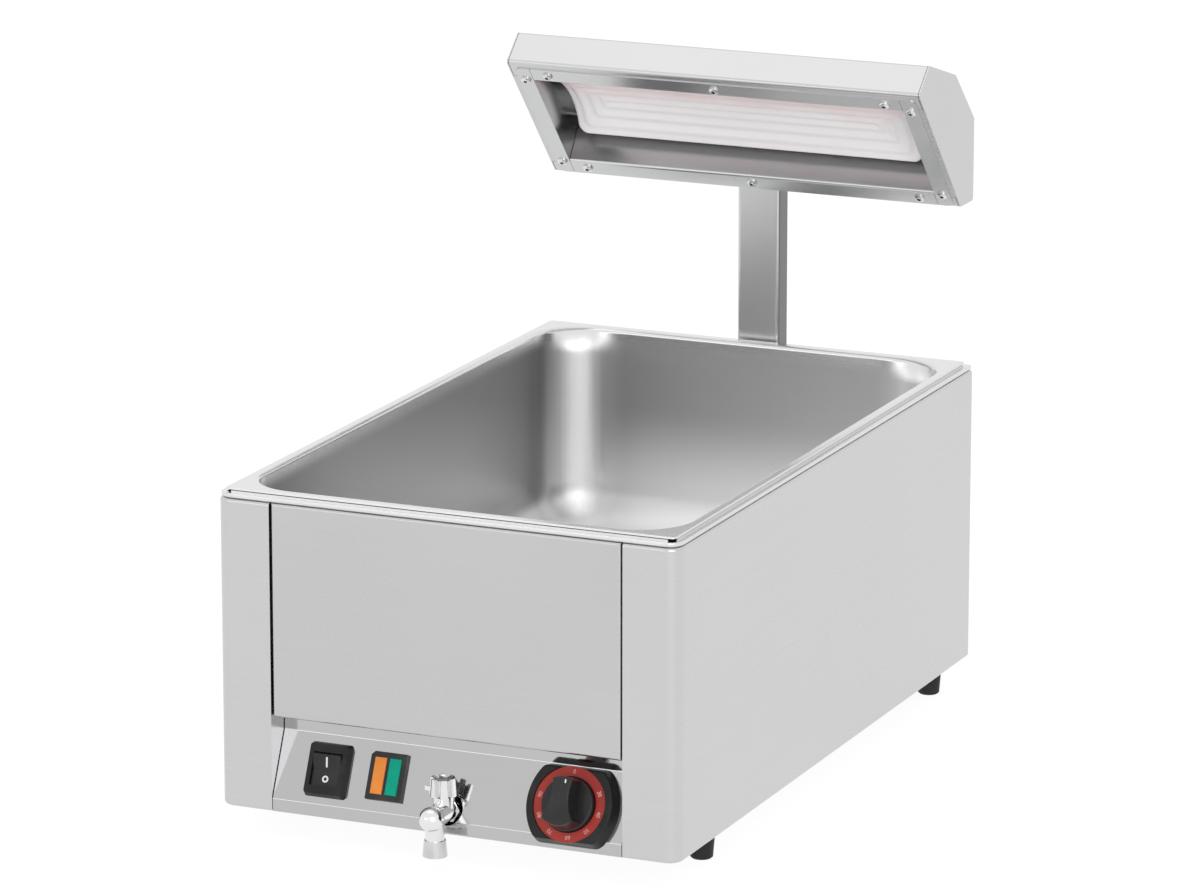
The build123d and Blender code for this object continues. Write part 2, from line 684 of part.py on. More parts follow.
def hood_outline():
    """Corners of the hood's end in Y and Z: sill, brow, crest, shoulder, top and foot of the back."""
    brow = (SILL_Y - HOOD_MOUTH * math.sin(MOUTH), HOOD_Z + HOOD_MOUTH * math.cos(MOUTH))
    crest = (brow[0] + HOOD_BROW * math.cos(MOUTH), brow[1] + HOOD_BROW * math.sin(MOUTH))
    fall = math.radians(HOOD_ROOF_FALL)
    shoulder = (crest[0] + HOOD_ROOF * math.cos(fall), crest[1] - HOOD_ROOF * math.sin(fall))
    back_top = (HOOD_BACK_Y, HOOD_Z + HOOD_BACK_H)
    return [(SILL_Y, HOOD_Z), brow, crest, shoulder, back_top, (HOOD_BACK_Y, HOOD_Z)]


def on_mouth(rise):
    """Point of the mouth's plane in Y and Z, at a rise up the mouth from its sill."""
    return SILL_Y - rise * math.sin(MOUTH), HOOD_Z + rise * math.cos(MOUTH)


def hood_shell():
    """Sheet folded round the hood, with a lip along the brow and another along the sill."""
    sill, brow, crest, shoulder, back_top, back_low = hood_outline()
    points = [on_mouth(HOOD_MOUTH - HOOD_LIP_HIGH), brow, crest, shoulder, back_top, back_low, sill]
    points.append(on_mouth(HOOD_LIP_LOW))
    shell = folded(Plane.YZ, points, HOOD_BEND, SHEET, Side.RIGHT, HOOD_HALF - SHEET - HOOD_SEAM)
    slot = (POST_W + 2 * FIT) / 2
    shell -= block((-slot, slot), (REAR_Y - FIT, POST_BACK_Y), (HOOD_Z - SHEET, HOOD_Z + HOOD_BEND + FIT))
    for x in HOOD_BOLT_XS:
        start, end = (x, POST_BACK_Y - SHEET, HOOD_BOLT_Z), (x, HOOD_BACK_Y + SHEET, HOOD_BOLT_Z)
        shell -= rod(start, end, HOOD_BOLT_R + FIT)
    for x, rise in screw_places():
        if abs(x) <= SCREW_ROW_X:
            shell -= screw_way(x, rise)
    return shell


def hood_end():
    """Right end cap: plate, edges folded into the shell, and a lip beside the mouth."""
    outline = make_face(FilletPolyline(*hood_outline(), radius=HOOD_BEND, close=True))
    plate = extrude(Plane.YZ.offset(HOOD_HALF - SHEET) * outline, amount=SHEET)
    fold = offset(outline, amount=-SHEET - FIT) - offset(outline, amount=-2 * SHEET - FIT)
    edge = extrude(Plane.YZ.offset(HOOD_HALF - SHEET) * fold, amount=-HOOD_FOLD)
    edge -= mouth_zone(-HOOD_FOLD)
    low = HOOD_LIP_LOW + FIT
    high = HOOD_MOUTH - HOOD_LIP_HIGH - FIT
    lip = Rectangle(HOOD_LIP_SIDE, high - low)
    lip = Pos(HOOD_HALF - HOOD_LIP_SIDE / 2, (low + high) / 2) * lip
    cap = plate + edge + extrude(HOOD * lip, amount=-SHEET)
    for x, rise in screw_places():
        if x > SCREW_ROW_X:
            cap -= screw_way(x, rise)
    return cap


def mouth_zone(depth):
    """Block in front of a depth into the hood, used to keep the mouth clear."""
    slab = Pos(0, HOOD_MOUTH / 2) * Rectangle(4 * HOOD_HALF, 3 * HOOD_MOUTH)
    return extrude(HOOD.offset(depth) * slab, amount=HOOD_MOUTH)


def hood_bolts():
    """Round-head bolts through the hood's back into the post."""
    bolts = []
    for x in HOOD_BOLT_XS:
        seat = (x, HOOD_BACK_Y, HOOD_BOLT_Z)
        head = rod(seat, (x, HOOD_BACK_Y + HOOD_BOLT_HEAD_H, HOOD_BOLT_Z), HOOD_BOLT_HEAD_R)
        bolts.append(head + rod((x, HOOD_BACK_Y - HOOD_BOLT_L, HOOD_BOLT_Z), seat, HOOD_BOLT_R))
    return Compound(children=bolts)


def screw_places():
    """Screws of the reflector's flanges as X and rise up the mouth: two rows of three and two pairs."""
    low = (FLANGE_LOW + TROUGH_LOW) / 2
    high = (FLANGE_TOP + TROUGH_TOP) / 2
    rows = [(x, rise) for rise in (low, high) for x in (-SCREW_ROW_X, 0, SCREW_ROW_X)]
    side = (STRIP_IN + STRIP_OUT) / 2
    ends = (FLANGE_LOW + SCREW_SIDE_INSET, FLANGE_TOP - SCREW_SIDE_INSET)
    return rows + [(x, rise) for x in (-side, side) for rise in ends]


def screw_way(x, rise):
    """Clearance hole for one flange screw."""
    hole = Pos(x, rise) * Circle(SCREW_SHANK_R + FIT)
    return extrude(HOOD * hole, amount=2 * SHEET, both=True)


def reflector():
    """Trough of bright sheet with a flange along its top and bottom and a slot for the element's neck."""
    points = [
        (FLANGE_LOW, REFLECTOR_T),
        (TROUGH_LOW, REFLECTOR_T),
        (TROUGH_LOW + REFLECTOR_FLARE, -REFLECTOR_DEPTH),
        (TROUGH_TOP - REFLECTOR_FLARE, -REFLECTOR_DEPTH),
        (TROUGH_TOP, REFLECTOR_T),
        (FLANGE_TOP, REFLECTOR_T),
    ]
    trough = folded(SECTION, points, SHEET_BEND, REFLECTOR_T, Side.RIGHT, STRIP_IN - FIT)
    slot = Pos(0, ELEMENT_U) * Rectangle(NECK_L + 2 * FIT, NECK_W + 2 * FIT)
    trough -= extrude(HOOD.offset(-REFLECTOR_DEPTH) * slot, amount=2 * SHEET, both=True)
    for x, rise in screw_places():
        if abs(x) <= SCREW_ROW_X:
            trough -= screw_way(x, rise)
    return trough


def reflector_end():
    """Right end of the trough with its flange strip, rounded at the outer corners."""
    wall = Polyline(
        (TROUGH_LOW, REFLECTOR_T),
        (TROUGH_LOW + REFLECTOR_FLARE, -REFLECTOR_DEPTH),
        (TROUGH_TOP - REFLECTOR_FLARE, -REFLECTOR_DEPTH),
        (TROUGH_TOP, REFLECTOR_T),
        close=True,
    )
    plate = extrude(SECTION.offset(STRIP_IN) * make_face(wall), amount=REFLECTOR_T)
    strip = Pos((STRIP_IN + STRIP_OUT) / 2, (FLANGE_LOW + FLANGE_TOP) / 2)
    strip = strip * Rectangle(STRIP_OUT - STRIP_IN, FLANGE_TOP - FLANGE_LOW)
    strip = fillet(strip.vertices().sort_by(Axis.X)[-2:], FLANGE_CORNER)
    end = plate + extrude(HOOD * strip, amount=REFLECTOR_T)
    for x, rise in screw_places():
        if x > SCREW_ROW_X:
            end -= screw_way(x, rise)
    return end


def reflector_screws():
    """Button-head screws of all the reflector's flanges."""
    screws = []
    for x, rise in screw_places():
        place = HOOD.offset(REFLECTOR_T) * Pos(x, rise)
        head = extrude(place * Circle(SCREW_HEAD_R), amount=SCREW_HEAD_H)
        screws.append(head + extrude(place * Circle(SCREW_SHANK_R), amount=-SCREW_SHANK_L))
    return Compound(children=screws)


def trough_section(lift):
    """Section of the element's curved plate, its hollow face raised by a lift."""
    low, high = ELEMENT_U - ELEMENT_H / 2, ELEMENT_U + ELEMENT_H / 2
    front, back = lift - ELEMENT_SET, -ELEMENT_SET - ELEMENT_T
    face = ThreePointArc((low, front), (ELEMENT_U, front - ELEMENT_SAG), (high, front))
    rear = ThreePointArc((high, back), (ELEMENT_U, back - ELEMENT_SAG), (low, back))
    return make_face([face, Line(face @ 1, rear @ 0), rear, Line(rear @ 1, face @ 0)])


def element_loops():
    """Outline of the wire loops under the glaze: long rounded rings, one inside another."""
    def outline(inset):
        length, height = ELEMENT_L - 2 * inset, ELEMENT_H - 2 * inset
        return RectangleRounded(length, height, ELEMENT_LOOP_ROUND * height / 2)

    insets = [ELEMENT_RIB_MARGIN + ELEMENT_RIB_PITCH * loop for loop in range(ELEMENT_LOOPS)]
    rings = [outline(inset) - outline(inset + ELEMENT_RIB_W) for inset in insets]
    return Sketch() + [Pos(0, ELEMENT_U) * ring for ring in rings]


def ceramic_element():
    """Concave trough element with the raised loops of its wire on the face and a neck behind."""
    half = ELEMENT_L / 2
    middle = -ELEMENT_SET - ELEMENT_SAG - ELEMENT_T / 2
    plan = Pos(0, ELEMENT_U) * RectangleRounded(ELEMENT_L, ELEMENT_H, ELEMENT_CORNER)
    body = extrude(SECTION * trough_section(0), amount=half, both=True)
    body = body & extrude(HOOD * plan, amount=middle - ELEMENT_T)
    raised = extrude(SECTION * trough_section(ELEMENT_RIB_H), amount=half, both=True)
    body += raised & extrude(HOOD * element_loops(), amount=middle)
    neck = Pos(0, ELEMENT_U) * RectangleRounded(NECK_L, NECK_W, SHEET_BEND)
    return body + extrude(HOOD.offset(middle) * neck, amount=-REFLECTOR_BACK - NECK_OUT - middle)


def element_clip():
    """Spring plate on the neck behind the reflector, its two ends turned up."""
    seat = -REFLECTOR_BACK
    half = CLIP_L / 2
    points = [(-half, seat - CLIP_LEG), (-half, seat), (half, seat), (half, seat - CLIP_LEG)]
    across = Plane(origin=HOOD.from_local_coords(Vector(0, ELEMENT_U, 0)), x_dir=(1, 0, 0), z_dir=-HOOD.y_dir)
    clip = folded(across, points, SHEET_BEND, CLIP_T, Side.RIGHT, CLIP_W / 2)
    hole = Pos(0, ELEMENT_U) * Rectangle(NECK_L + 2 * FIT, NECK_W + 2 * FIT)
    return clip - extrude(HOOD.offset(seat) * hole, amount=2 * SHEET, both=True)


def element_terminal():
    """Two-way ceramic terminal block on the back of the reflector."""
    seat = HOOD.offset(-REFLECTOR_BACK) * Pos(LAMP_BLOCK_X, ELEMENT_U)
    body = extrude(seat * RectangleRounded(LAMP_BLOCK_L, LAMP_BLOCK_W, SHEET_BEND), amount=-LAMP_BLOCK_H)
    for side in (-1, 1):
        hole = seat * Pos(side * LAMP_BLOCK_PITCH / 2, 0) * Circle(LAMP_BLOCK_HOLE_R)
        body -= extrude(hole, amount=-LAMP_BLOCK_H)
    return body


def switch_housing():
    """Rocker switch body behind the panel with a raised frame round the rocker and two rows of tabs."""
    place = PANEL * Pos(SWITCH_X, SWITCH_RISE)
    foot_frame = RectangleRounded(SWITCH_FRAME_W, SWITCH_FRAME_L, SHEET_BEND)
    top_frame = RectangleRounded(
        SWITCH_FRAME_W - 2 * SWITCH_FRAME_DRAFT, SWITCH_FRAME_L - 2 * SWITCH_FRAME_DRAFT, SHEET_BEND
    )
    frame = loft([place * foot_frame, place * Pos(0, 0, SWITCH_FRAME_H) * top_frame])
    body = frame + extrude(place * Rectangle(SWITCH_BODY_W, SWITCH_BODY_L), amount=-SWITCH_BODY_DEPTH)
    pivot = place * Pos(0, 0, ROCKER_PIVOT_H) * Rot(0, 90, 0)
    half = ROCKER_W / 2 + ROCKER_GAP
    well = Pos(0, 0, -half) * extrude(Circle(ROCKER_R + ROCKER_GAP), amount=2 * half)
    pin_half = half + ROCKER_PIN_L
    pins = Pos(0, 0, -pin_half) * extrude(Circle(ROCKER_PIN_R + RUNNING), amount=2 * pin_half)
    body -= pivot * (well + pins)
    for side in (-1, 1):
        for row in (-1, 1):
            tab = Rectangle(SWITCH_TAB_T, SWITCH_TAB_W)
            tab = place * Pos(side * SWITCH_TAB_PITCH / 2, row * SWITCH_TAB_PITCH, -SWITCH_BODY_DEPTH) * tab
            body += extrude(tab, amount=-SWITCH_TAB_L)
    return body


def switch_rocker():
    """Rocker with a hollowed face and its two pivot pins, tipped with its lower half pressed in."""
    half = ROCKER_W / 2
    lean = math.radians(ROCKER_THROW / 2)
    edge = ROCKER_R * math.cos(lean)
    rise = ROCKER_WAIST + edge * math.tan(lean)
    # The section is drawn with x up the panel and y out of it.
    foot = [(-edge, -ROCKER_UNDER), (edge, -ROCKER_UNDER)]
    crown = [(edge, rise), (0, ROCKER_WAIST), (-edge, rise)]
    section = make_face(Polyline(*foot, *crown, close=True)) & Circle(ROCKER_R)
    place = PANEL * Pos(SWITCH_X, SWITCH_RISE, ROCKER_PIVOT_H) * Rot(ROCKER_THROW / 2, 0, 0)
    across = Plane(origin=(0, 0, 0), x_dir=(0, 1, 0), z_dir=(1, 0, 0))
    body = extrude(across * section, amount=half, both=True)
    pin_half = half + ROCKER_GAP + ROCKER_PIN_L - RUNNING
    body += extrude(across * Circle(ROCKER_PIN_R), amount=pin_half, both=True)
    return place * body


def pilot_housing():
    """Lamp body with a flat frame, one corner cut, and a pocket for each lens."""
    place = PANEL * Pos(PILOT_X, PILOT_RISE)
    frame = Rectangle(PILOT_FRAME_W, PILOT_FRAME_L)
    corner = frame.vertices().sort_by(Axis.Y)[-2:].sort_by(Axis.X)[0]
    frame = chamfer(corner, PILOT_CHAMFER)
    body = extrude(place * frame, amount=PILOT_FRAME_H)
    body += extrude(place * Rectangle(PILOT_BODY_W, PILOT_BODY_L), amount=-PILOT_BODY_DEPTH)
    for side in (-1, 1):
        pocket = place * Pos(side * LENS_PITCH / 2, 0, PILOT_FRAME_H) * Rectangle(LENS_W + FIT, LENS_L + FIT)
        body -= extrude(pocket, amount=-LENS_SEAT)
    return body


def pilot_lens(side):
    """One coloured lens, standing a little proud of the lamp's frame."""
    place = PANEL * Pos(PILOT_X + side * LENS_PITCH / 2, PILOT_RISE, PILOT_FRAME_H - LENS_SEAT)
    lens = extrude(Rectangle(LENS_W, LENS_L), amount=LENS_SEAT + LENS_PROUD)
    return place * fillet(lens.faces().sort_by(Axis.Z)[-1].edges(), LENS_ROUND)


def thermostat_bezel():
    """Moulded bezel with bowed sides, drafted walls and a dished face for the scale ring."""
    side, flat, half = BEZEL_W / 2, BEZEL_FLAT / 2, BEZEL_L / 2
    right = ThreePointArc((flat, -half), (side, 0), (flat, half))
    left = ThreePointArc((-flat, half), (-side, 0), (-flat, -half))
    outline = make_face([right, Line(right @ 1, left @ 0), left, Line(left @ 1, right @ 0)])
    outline = fillet(outline.vertices(), BEZEL_CORNER)
    body = extrude(outline, amount=BEZEL_H, taper=BEZEL_DRAFT)
    body = fillet(body.faces().sort_by(Axis.Z)[-1].edges(), BEZEL_EDGE_ROUND)
    body -= Pos(0, 0, BEZEL_H - BEZEL_DISH) * extrude(Circle(RING_R + FIT), amount=BEZEL_DISH)
    body -= extrude(Circle(SHAFT_WAY_R), amount=BEZEL_H)
    return PANEL * Pos(STAT_X, STAT_RISE) * body


def scale_ring():
    """Flat ring that carries the temperature scale, seated in the bezel's dish."""
    ring = Circle(RING_R) - Circle(KNOB_R + KNOB_RING_GAP)
    return PANEL * Pos(STAT_X, STAT_RISE, BEZEL_H - BEZEL_DISH) * extrude(ring, amount=RING_T)


def thermostat_knob():
    """Round knob with a waisted grip, broad at its tail, and a bore for the flatted shaft."""
    skirt = extrude(Circle(KNOB_R), amount=KNOB_SKIRT_H)
    skirt = fillet(skirt.edges().sort_by(Axis.Z)[-1], KNOB_EDGE_ROUND)
    outline = Circle(KNOB_R - KNOB_EDGE_ROUND / 2)
    for side in (-1, 1):
        outline -= Pos(side * (KNOB_WAIST / 2 + KNOB_SCOOP_R), KNOB_WAIST_RISE) * Circle(KNOB_SCOOP_R)
    outline = fillet(outline.vertices(), KNOB_EDGE_ROUND)
    low = KNOB_SKIRT_H / 2
    grip = Pos(0, 0, low) * extrude(outline, amount=KNOB_H - low, taper=KNOB_GRIP_DRAFT)
    grip = fillet(grip.faces().sort_by(Axis.Z)[-1].edges(), KNOB_EDGE_ROUND)
    body = skirt + grip - extrude(flatted_round(SHAFT_R + RUNNING), amount=SHAFT_IN_KNOB)
    return PANEL * Pos(STAT_X, STAT_RISE, BEZEL_H - BEZEL_DISH + KNOB_RING_GAP) * body


def flatted_round(radius):
    """Round section with a flat on one side."""
    return Circle(radius) & Pos(0, -SHAFT_FLAT / 2) * Rectangle(2 * radius, 2 * radius - SHAFT_FLAT)


def thermostat_shaft():
    """Flatted spindle from the thermostat into the knob."""
    knob_low = BEZEL_H - BEZEL_DISH + KNOB_RING_GAP
    low = -SHEET - SHAFT_IN_BODY
    round_part = Pos(0, 0, low) * extrude(Circle(SHAFT_R), amount=knob_low - low)
    flatted = Pos(0, 0, knob_low) * extrude(flatted_round(SHAFT_R), amount=SHAFT_IN_KNOB - FIT)
    return PANEL * Pos(STAT_X, STAT_RISE) * (round_part + flatted)


def thermostat_body():
    """Thermostat block behind the panel, bored for the spindle."""
    body = extrude(RectangleRounded(STAT_BODY_W, STAT_BODY_L, STAT_BODY_ROUND), amount=-STAT_BODY_DEPTH)
    body -= extrude(Circle(SHAFT_R + RUNNING), amount=-SHAFT_IN_BODY - FIT)
    return PANEL * Pos(STAT_X, STAT_RISE, -SHEET) * body


def thermostat_bulb():
    """Sensing bulb under the basin with its capillary from the thermostat."""
    z = BASIN_UNDER - FIT - BULB_R
    back = PANEL.from_local_coords(Vector(BULB_X + CAPILLARY_BEND, STAT_RISE, -SHEET - STAT_BODY_DEPTH))
    knee = back - PANEL.z_dir * CAPILLARY_BEND * 2
    points = [back, knee, Vector(BULB_X, BULB_Y - 2 * CAPILLARY_BEND, z), Vector(BULB_X, BULB_Y, z)]
    path = FilletPolyline(*points, radius=CAPILLARY_BEND)
    capillary = sweep(Plane(origin=path @ 0, z_dir=path % 0) * Circle(CAPILLARY_R), path=path)
    return capillary + rod((BULB_X, BULB_Y, z), (BULB_X, BULB_Y + BULB_L, z), BULB_R)


def tap_body():
    """Drain cock: tail, hexagon, barrel, ball elbow, spout with nipple, bonnet and water way."""
    ball = (0, TAP_BALL_Y, TAP_Z)
    elbow = (0, SPOUT_Y, TAP_Z)
    nipple_end = (0, SPOUT_Y, SPOUT_END_Z - TAP_NIPPLE_L)
    body = rod((0, TAP_TAIL_Y, TAP_Z), (0, TAP_HEX_Y, TAP_Z), PIPE_R)
    body += hex_rod((0, TAP_HEX_Y + TAP_HEX_L, TAP_Z), (0, TAP_HEX_Y - TAP_HEX_L / 2, TAP_Z), TAP_HEX_R)
    body += rod((0, TAP_HEX_Y, TAP_Z), ball, TAP_BARREL_R)
    body += Pos(*ball) * Sphere(TAP_BALL_R)
    body += rod(elbow, (0, SPOUT_Y, SPOUT_END_Z), TAP_SPOUT_R)
    body += rod(elbow, nipple_end, TAP_NIPPLE_R)
    bonnet_top = TAP_Z + TAP_BONNET_H
    body += rod((0, TAP_PLUG_Y, TAP_Z), (0, TAP_PLUG_Y, bonnet_top), TAP_BONNET_R)
    body -= rod((0, TAP_TAIL_Y, TAP_Z), elbow, TAP_WAY_R)
    body -= rod(elbow, nipple_end, TAP_WAY_R)
    plug_low = (0, TAP_PLUG_Y, TAP_Z - TAP_PLUG_LOW)
    return body - rod(plug_low, (0, TAP_PLUG_Y, bonnet_top), TAP_PLUG_R + RUNNING)


def tap_plug():
    """Plug with a cross port, closed at rest, and the stem that carries the handle."""
    shoulder = TAP_Z + TAP_BONNET_H
    plug = rod((0, TAP_PLUG_Y, TAP_Z - TAP_PLUG_LOW + FIT), (0, TAP_PLUG_Y, shoulder), TAP_PLUG_R)
    plug += rod((0, TAP_PLUG_Y, shoulder), (0, TAP_PLUG_Y, HANDLE_LOW + TAP_STEM_L), TAP_STEM_R)
    return plug - rod((-TAP_PLUG_R, TAP_PLUG_Y, TAP_Z), (TAP_PLUG_R, TAP_PLUG_Y, TAP_Z), TAP_WAY_R)


def tap_handle():
    """Crown handle with deep flutes, a cap in its dished top and a pointer to one side."""
    root = HANDLE_R - HANDLE_GROOVE_D
    outside = root + 2 * HANDLE_GROOVE_D
    corners = [(root, 0), (outside, HANDLE_GROOVE_W), (outside, -HANDLE_GROOVE_W)]
    groove = make_face(Polyline(*corners, close=True))
    outline = Circle(HANDLE_R)
    for turn in range(HANDLE_GROOVES):
        outline -= Rot(0, 0, (turn + 1 / 2) * 360 / HANDLE_GROOVES) * groove
    body = extrude(outline, amount=HANDLE_H, taper=HANDLE_TAPER)
    tip = make_face(Polyline((0, -HANDLE_POINTER_W), (-HANDLE_POINTER, 0), (0, HANDLE_POINTER_W), close=True))
    body += Pos(0, 0, HANDLE_POINTER_RISE) * extrude(tip, amount=HANDLE_POINTER_H)
    dish = HANDLE_H - HANDLE_DISH
    body -= Pos(0, 0, dish + HANDLE_DISH_R) * Sphere(HANDLE_DISH_R)
    body += rod((0, 0, dish - HANDLE_CAP_H / 2), (0, 0, dish + HANDLE_CAP_H), HANDLE_CAP_R)
    body -= extrude(Circle(TAP_STEM_R + RUNNING), amount=TAP_STEM_L + FIT)
    return Pos(0, TAP_PLUG_Y, HANDLE_LOW) * body


def tap_nozzle():
    """Flared hose nozzle on the spout's nipple."""
    top = SPOUT_END_Z
    low = top - NOZZLE_L
    nipple = TAP_NIPPLE_R + RUNNING
    shelf = top - TAP_NIPPLE_L - FIT
    profile = Polyline(
        (nipple, top),
        (NOZZLE_TOP_R, top),
        (NOZZLE_MOUTH_R, low),
        (NOZZLE_WAY_R, low),
        (NOZZLE_WAY_R, shelf),
        (nipple, shelf),
        close=True,
    )
    return Pos(0, SPOUT_Y, 0) * revolve(Plane.XZ * make_face(profile), axis=Axis.Z)


def tap_nut():
    """Union nut over the joint between the tap's tail and the drain pipe."""
    front = TAP_TAIL_Y - NUT_OVER_TAIL
    nut = hex_rod((0, front, TAP_Z), (0, front + NUT_L, TAP_Z), NUT_R)
    return nut - rod((0, front, TAP_Z), (0, front + NUT_L, TAP_Z), PIPE_R + FIT)


def drain_pipe():
    """Pipe from the basin's drain round one bend to the tap, with a flange under the basin."""
    top = (0, DRAIN_Y, BASIN_UNDER)
    path = FilletPolyline(top, (0, DRAIN_Y, TAP_Z), (0, TAP_TAIL_Y, TAP_Z), radius=PIPE_BEND)
    mouth = Plane(origin=top, z_dir=(0, 0, -1))
    pipe = sweep(mouth * Circle(PIPE_R), path=path)
    pipe += rod((0, DRAIN_Y, BASIN_UNDER - PIPE_FLANGE_T), top, PIPE_FLANGE_R)
    return pipe - sweep(mouth * Circle(PIPE_WAY_R), path=path)


def basin_heater():
    """Tubular heater in four runs under the basin's floor."""
    z = BASIN_UNDER - FIT - HEATER_R
    turn = HEATER_TURN
    outer, inner = 3 * turn, turn
    front, rear = HEATER_FRONT_Y, HEATER_REAR_Y
    runs = [
        Line((-outer, front, z), (-outer, rear, z)),
        ThreePointArc((-outer, rear, z), (-2 * turn, rear + turn, z), (-inner, rear, z)),
        Line((-inner, rear, z), (-inner, HEATER_INNER_Y, z)),
        ThreePointArc((-inner, HEATER_INNER_Y, z), (0, HEATER_INNER_Y - turn, z), (inner, HEATER_INNER_Y, z)),
        Line((inner, HEATER_INNER_Y, z), (inner, rear, z)),
        ThreePointArc((inner, rear, z), (2 * turn, rear + turn, z), (outer, rear, z)),
        Line((outer, rear, z), (outer, front, z)),
    ]
    start = Plane(origin=(-outer, HEATER_FRONT_Y, z), z_dir=(0, 1, 0))
    return sweep(start * Circle(HEATER_R), path=Wire(runs))


def heater_straps():
    """Two top-hat straps that hold the heater up against the basin's floor."""
    high = BASIN_UNDER
    low = BASIN_UNDER - 2 * FIT - 2 * HEATER_R - STRAP_T
    leg = 3 * HEATER_TURN + HEATER_R + STRAP_SIDE_GAP
    points = [
        (-leg - STRAP_FOOT, high - STRAP_T),
        (-leg, high - STRAP_T),
        (-leg, low),
        (leg, low),
        (leg, high - STRAP_T),
        (leg + STRAP_FOOT, high - STRAP_T),
    ]
    strap = folded(Plane.XZ, points, STRAP_T, STRAP_T, Side.LEFT, STRAP_W / 2)
    return Compound(children=[Pos(0, y, 0) * strap for y in STRAP_YS])


def safety_cutout():
    """Disc thermostat pressed to the underside of the basin."""
    top = BASIN_UNDER
    body = rod((CUTOUT_X, CUTOUT_Y, top - CUTOUT_H), (CUTOUT_X, CUTOUT_Y, top), CUTOUT_R)
    return body + rod((CUTOUT_X, CUTOUT_Y, top - CUTOUT_FLANGE_T), (CUTOUT_X, CUTOUT_Y, top), CUTOUT_FLANGE_R)


def terminal_block():
    """Mains terminal block on the base plate in front of the gland."""
    floor = BASE_Z + SHEET
    half = TERMINAL_W / 2
    depth = (TERMINAL_Y, TERMINAL_Y + TERMINAL_D)
    body = block((GLAND_X - half, GLAND_X + half), depth, (floor, floor + TERMINAL_H))
    pitch = TERMINAL_W / TERMINAL_WAYS
    for way in range(TERMINAL_WAYS):
        x = GLAND_X + (way - (TERMINAL_WAYS - 1) / 2) * pitch
        z = floor + TERMINAL_H / 2
        body -= rod((x, TERMINAL_Y, z), (x, TERMINAL_Y + TERMINAL_D, z), TERMINAL_HOLE_R)
    return body


def cable_gland():
    """Gland body through the rear panel: thread, hexagon and domed cap, bored for the cable."""
    z = CASING_Z + GLAND_RISE
    hex_end = REAR_Y + GLAND_HEX_L
    dome_end = hex_end + GLAND_DOME_L
    body = hex_rod((GLAND_X, REAR_Y, z), (GLAND_X, hex_end, z), GLAND_HEX_R)
    dome = rod((GLAND_X, hex_end, z), (GLAND_X, dome_end, z), GLAND_DOME_R)
    body += fillet(dome.edges().sort_by(Axis.Y)[-1], GLAND_DOME_ROUND)
    body += rod((GLAND_X, REAR_Y - GLAND_THREAD_L, z), (GLAND_X, REAR_Y, z), GLAND_THREAD_R)
    return body - rod((GLAND_X, REAR_Y - GLAND_THREAD_L, z), (GLAND_X, dome_end, z), GLAND_WAY_R)


def gland_nut():
    """Lock nut of the gland inside the rear panel."""
    z = CASING_Z + GLAND_RISE
    face = REAR_Y - SHEET
    nut = hex_rod((GLAND_X, face, z), (GLAND_X, face - GLAND_NUT_L, z), GLAND_HEX_R)
    return nut - rod((GLAND_X, face, z), (GLAND_X, face - GLAND_NUT_L, z), GLAND_THREAD_R + RUNNING)


def mirrored(solid):
    """The same piece for the left side."""
    return mirror(solid, about=Plane.YZ)


def pieces():
    """Every piece of the fry warmer by the name of its node."""
    side = side_panel()
    cap = hood_end()
    end = reflector_end()
    made = {
        "right_side_panel": side,
        "left_side_panel": mirrored(side),
        "front_panel": front_panel(),
        "rear_panel": rear_panel(),
        "control_panel": control_panel(),
        "base_plate": base_plate(),
        "base_screws": base_screws(),
        "foot_screws": foot_screws(),
        "basin": basin(),
        "rim_seal": rim_seal(),
        "post": post(),
        "post_bolts": post_bolts(),
        "post_nuts": post_nuts(),
        "hood_shell": hood_shell(),
        "hood_end_right": cap,
        "hood_end_left": mirrored(cap),
        "hood_bolts": hood_bolts(),
        "reflector": reflector(),
        "reflector_end_right": end,
        "reflector_end_left": mirrored(end),
        "reflector_screws": reflector_screws(),
        "ceramic_element": ceramic_element(),
        "element_clip": element_clip(),
        "element_terminal": element_terminal(),
        "switch_housing": switch_housing(),
        "switch_rocker": switch_rocker(),
        "pilot_housing": pilot_housing(),
        "amber_lens": pilot_lens(-1),
        "green_lens": pilot_lens(1),
        "thermostat_bezel": thermostat_bezel(),
        "scale_ring": scale_ring(),
        "thermostat_knob": thermostat_knob(),
        "thermostat_shaft": thermostat_shaft(),
        "thermostat_body": thermostat_body(),
        "thermostat_bulb": thermostat_bulb(),
        "tap_body": tap_body(),
        "tap_plug": tap_plug(),
        "tap_handle": tap_handle(),
        "tap_nozzle": tap_nozzle(),
        "tap_nut": tap_nut(),
        "drain_pipe": drain_pipe(),
        "basin_heater": basin_heater(),
        "heater_straps": heater_straps(),
        "safety_cutout": safety_cutout(),
        "terminal_block": terminal_block(),
        "cable_gland": cable_gland(),
        "gland_nut": gland_nut(),
    }
    for name, place in foot_places().items():
        made[name] = foot(*place)
    return made


os.makedirs("parts", exist_ok=True)
for node, solid in pieces().items():
    export_step(solid, f"parts/{node}.step")
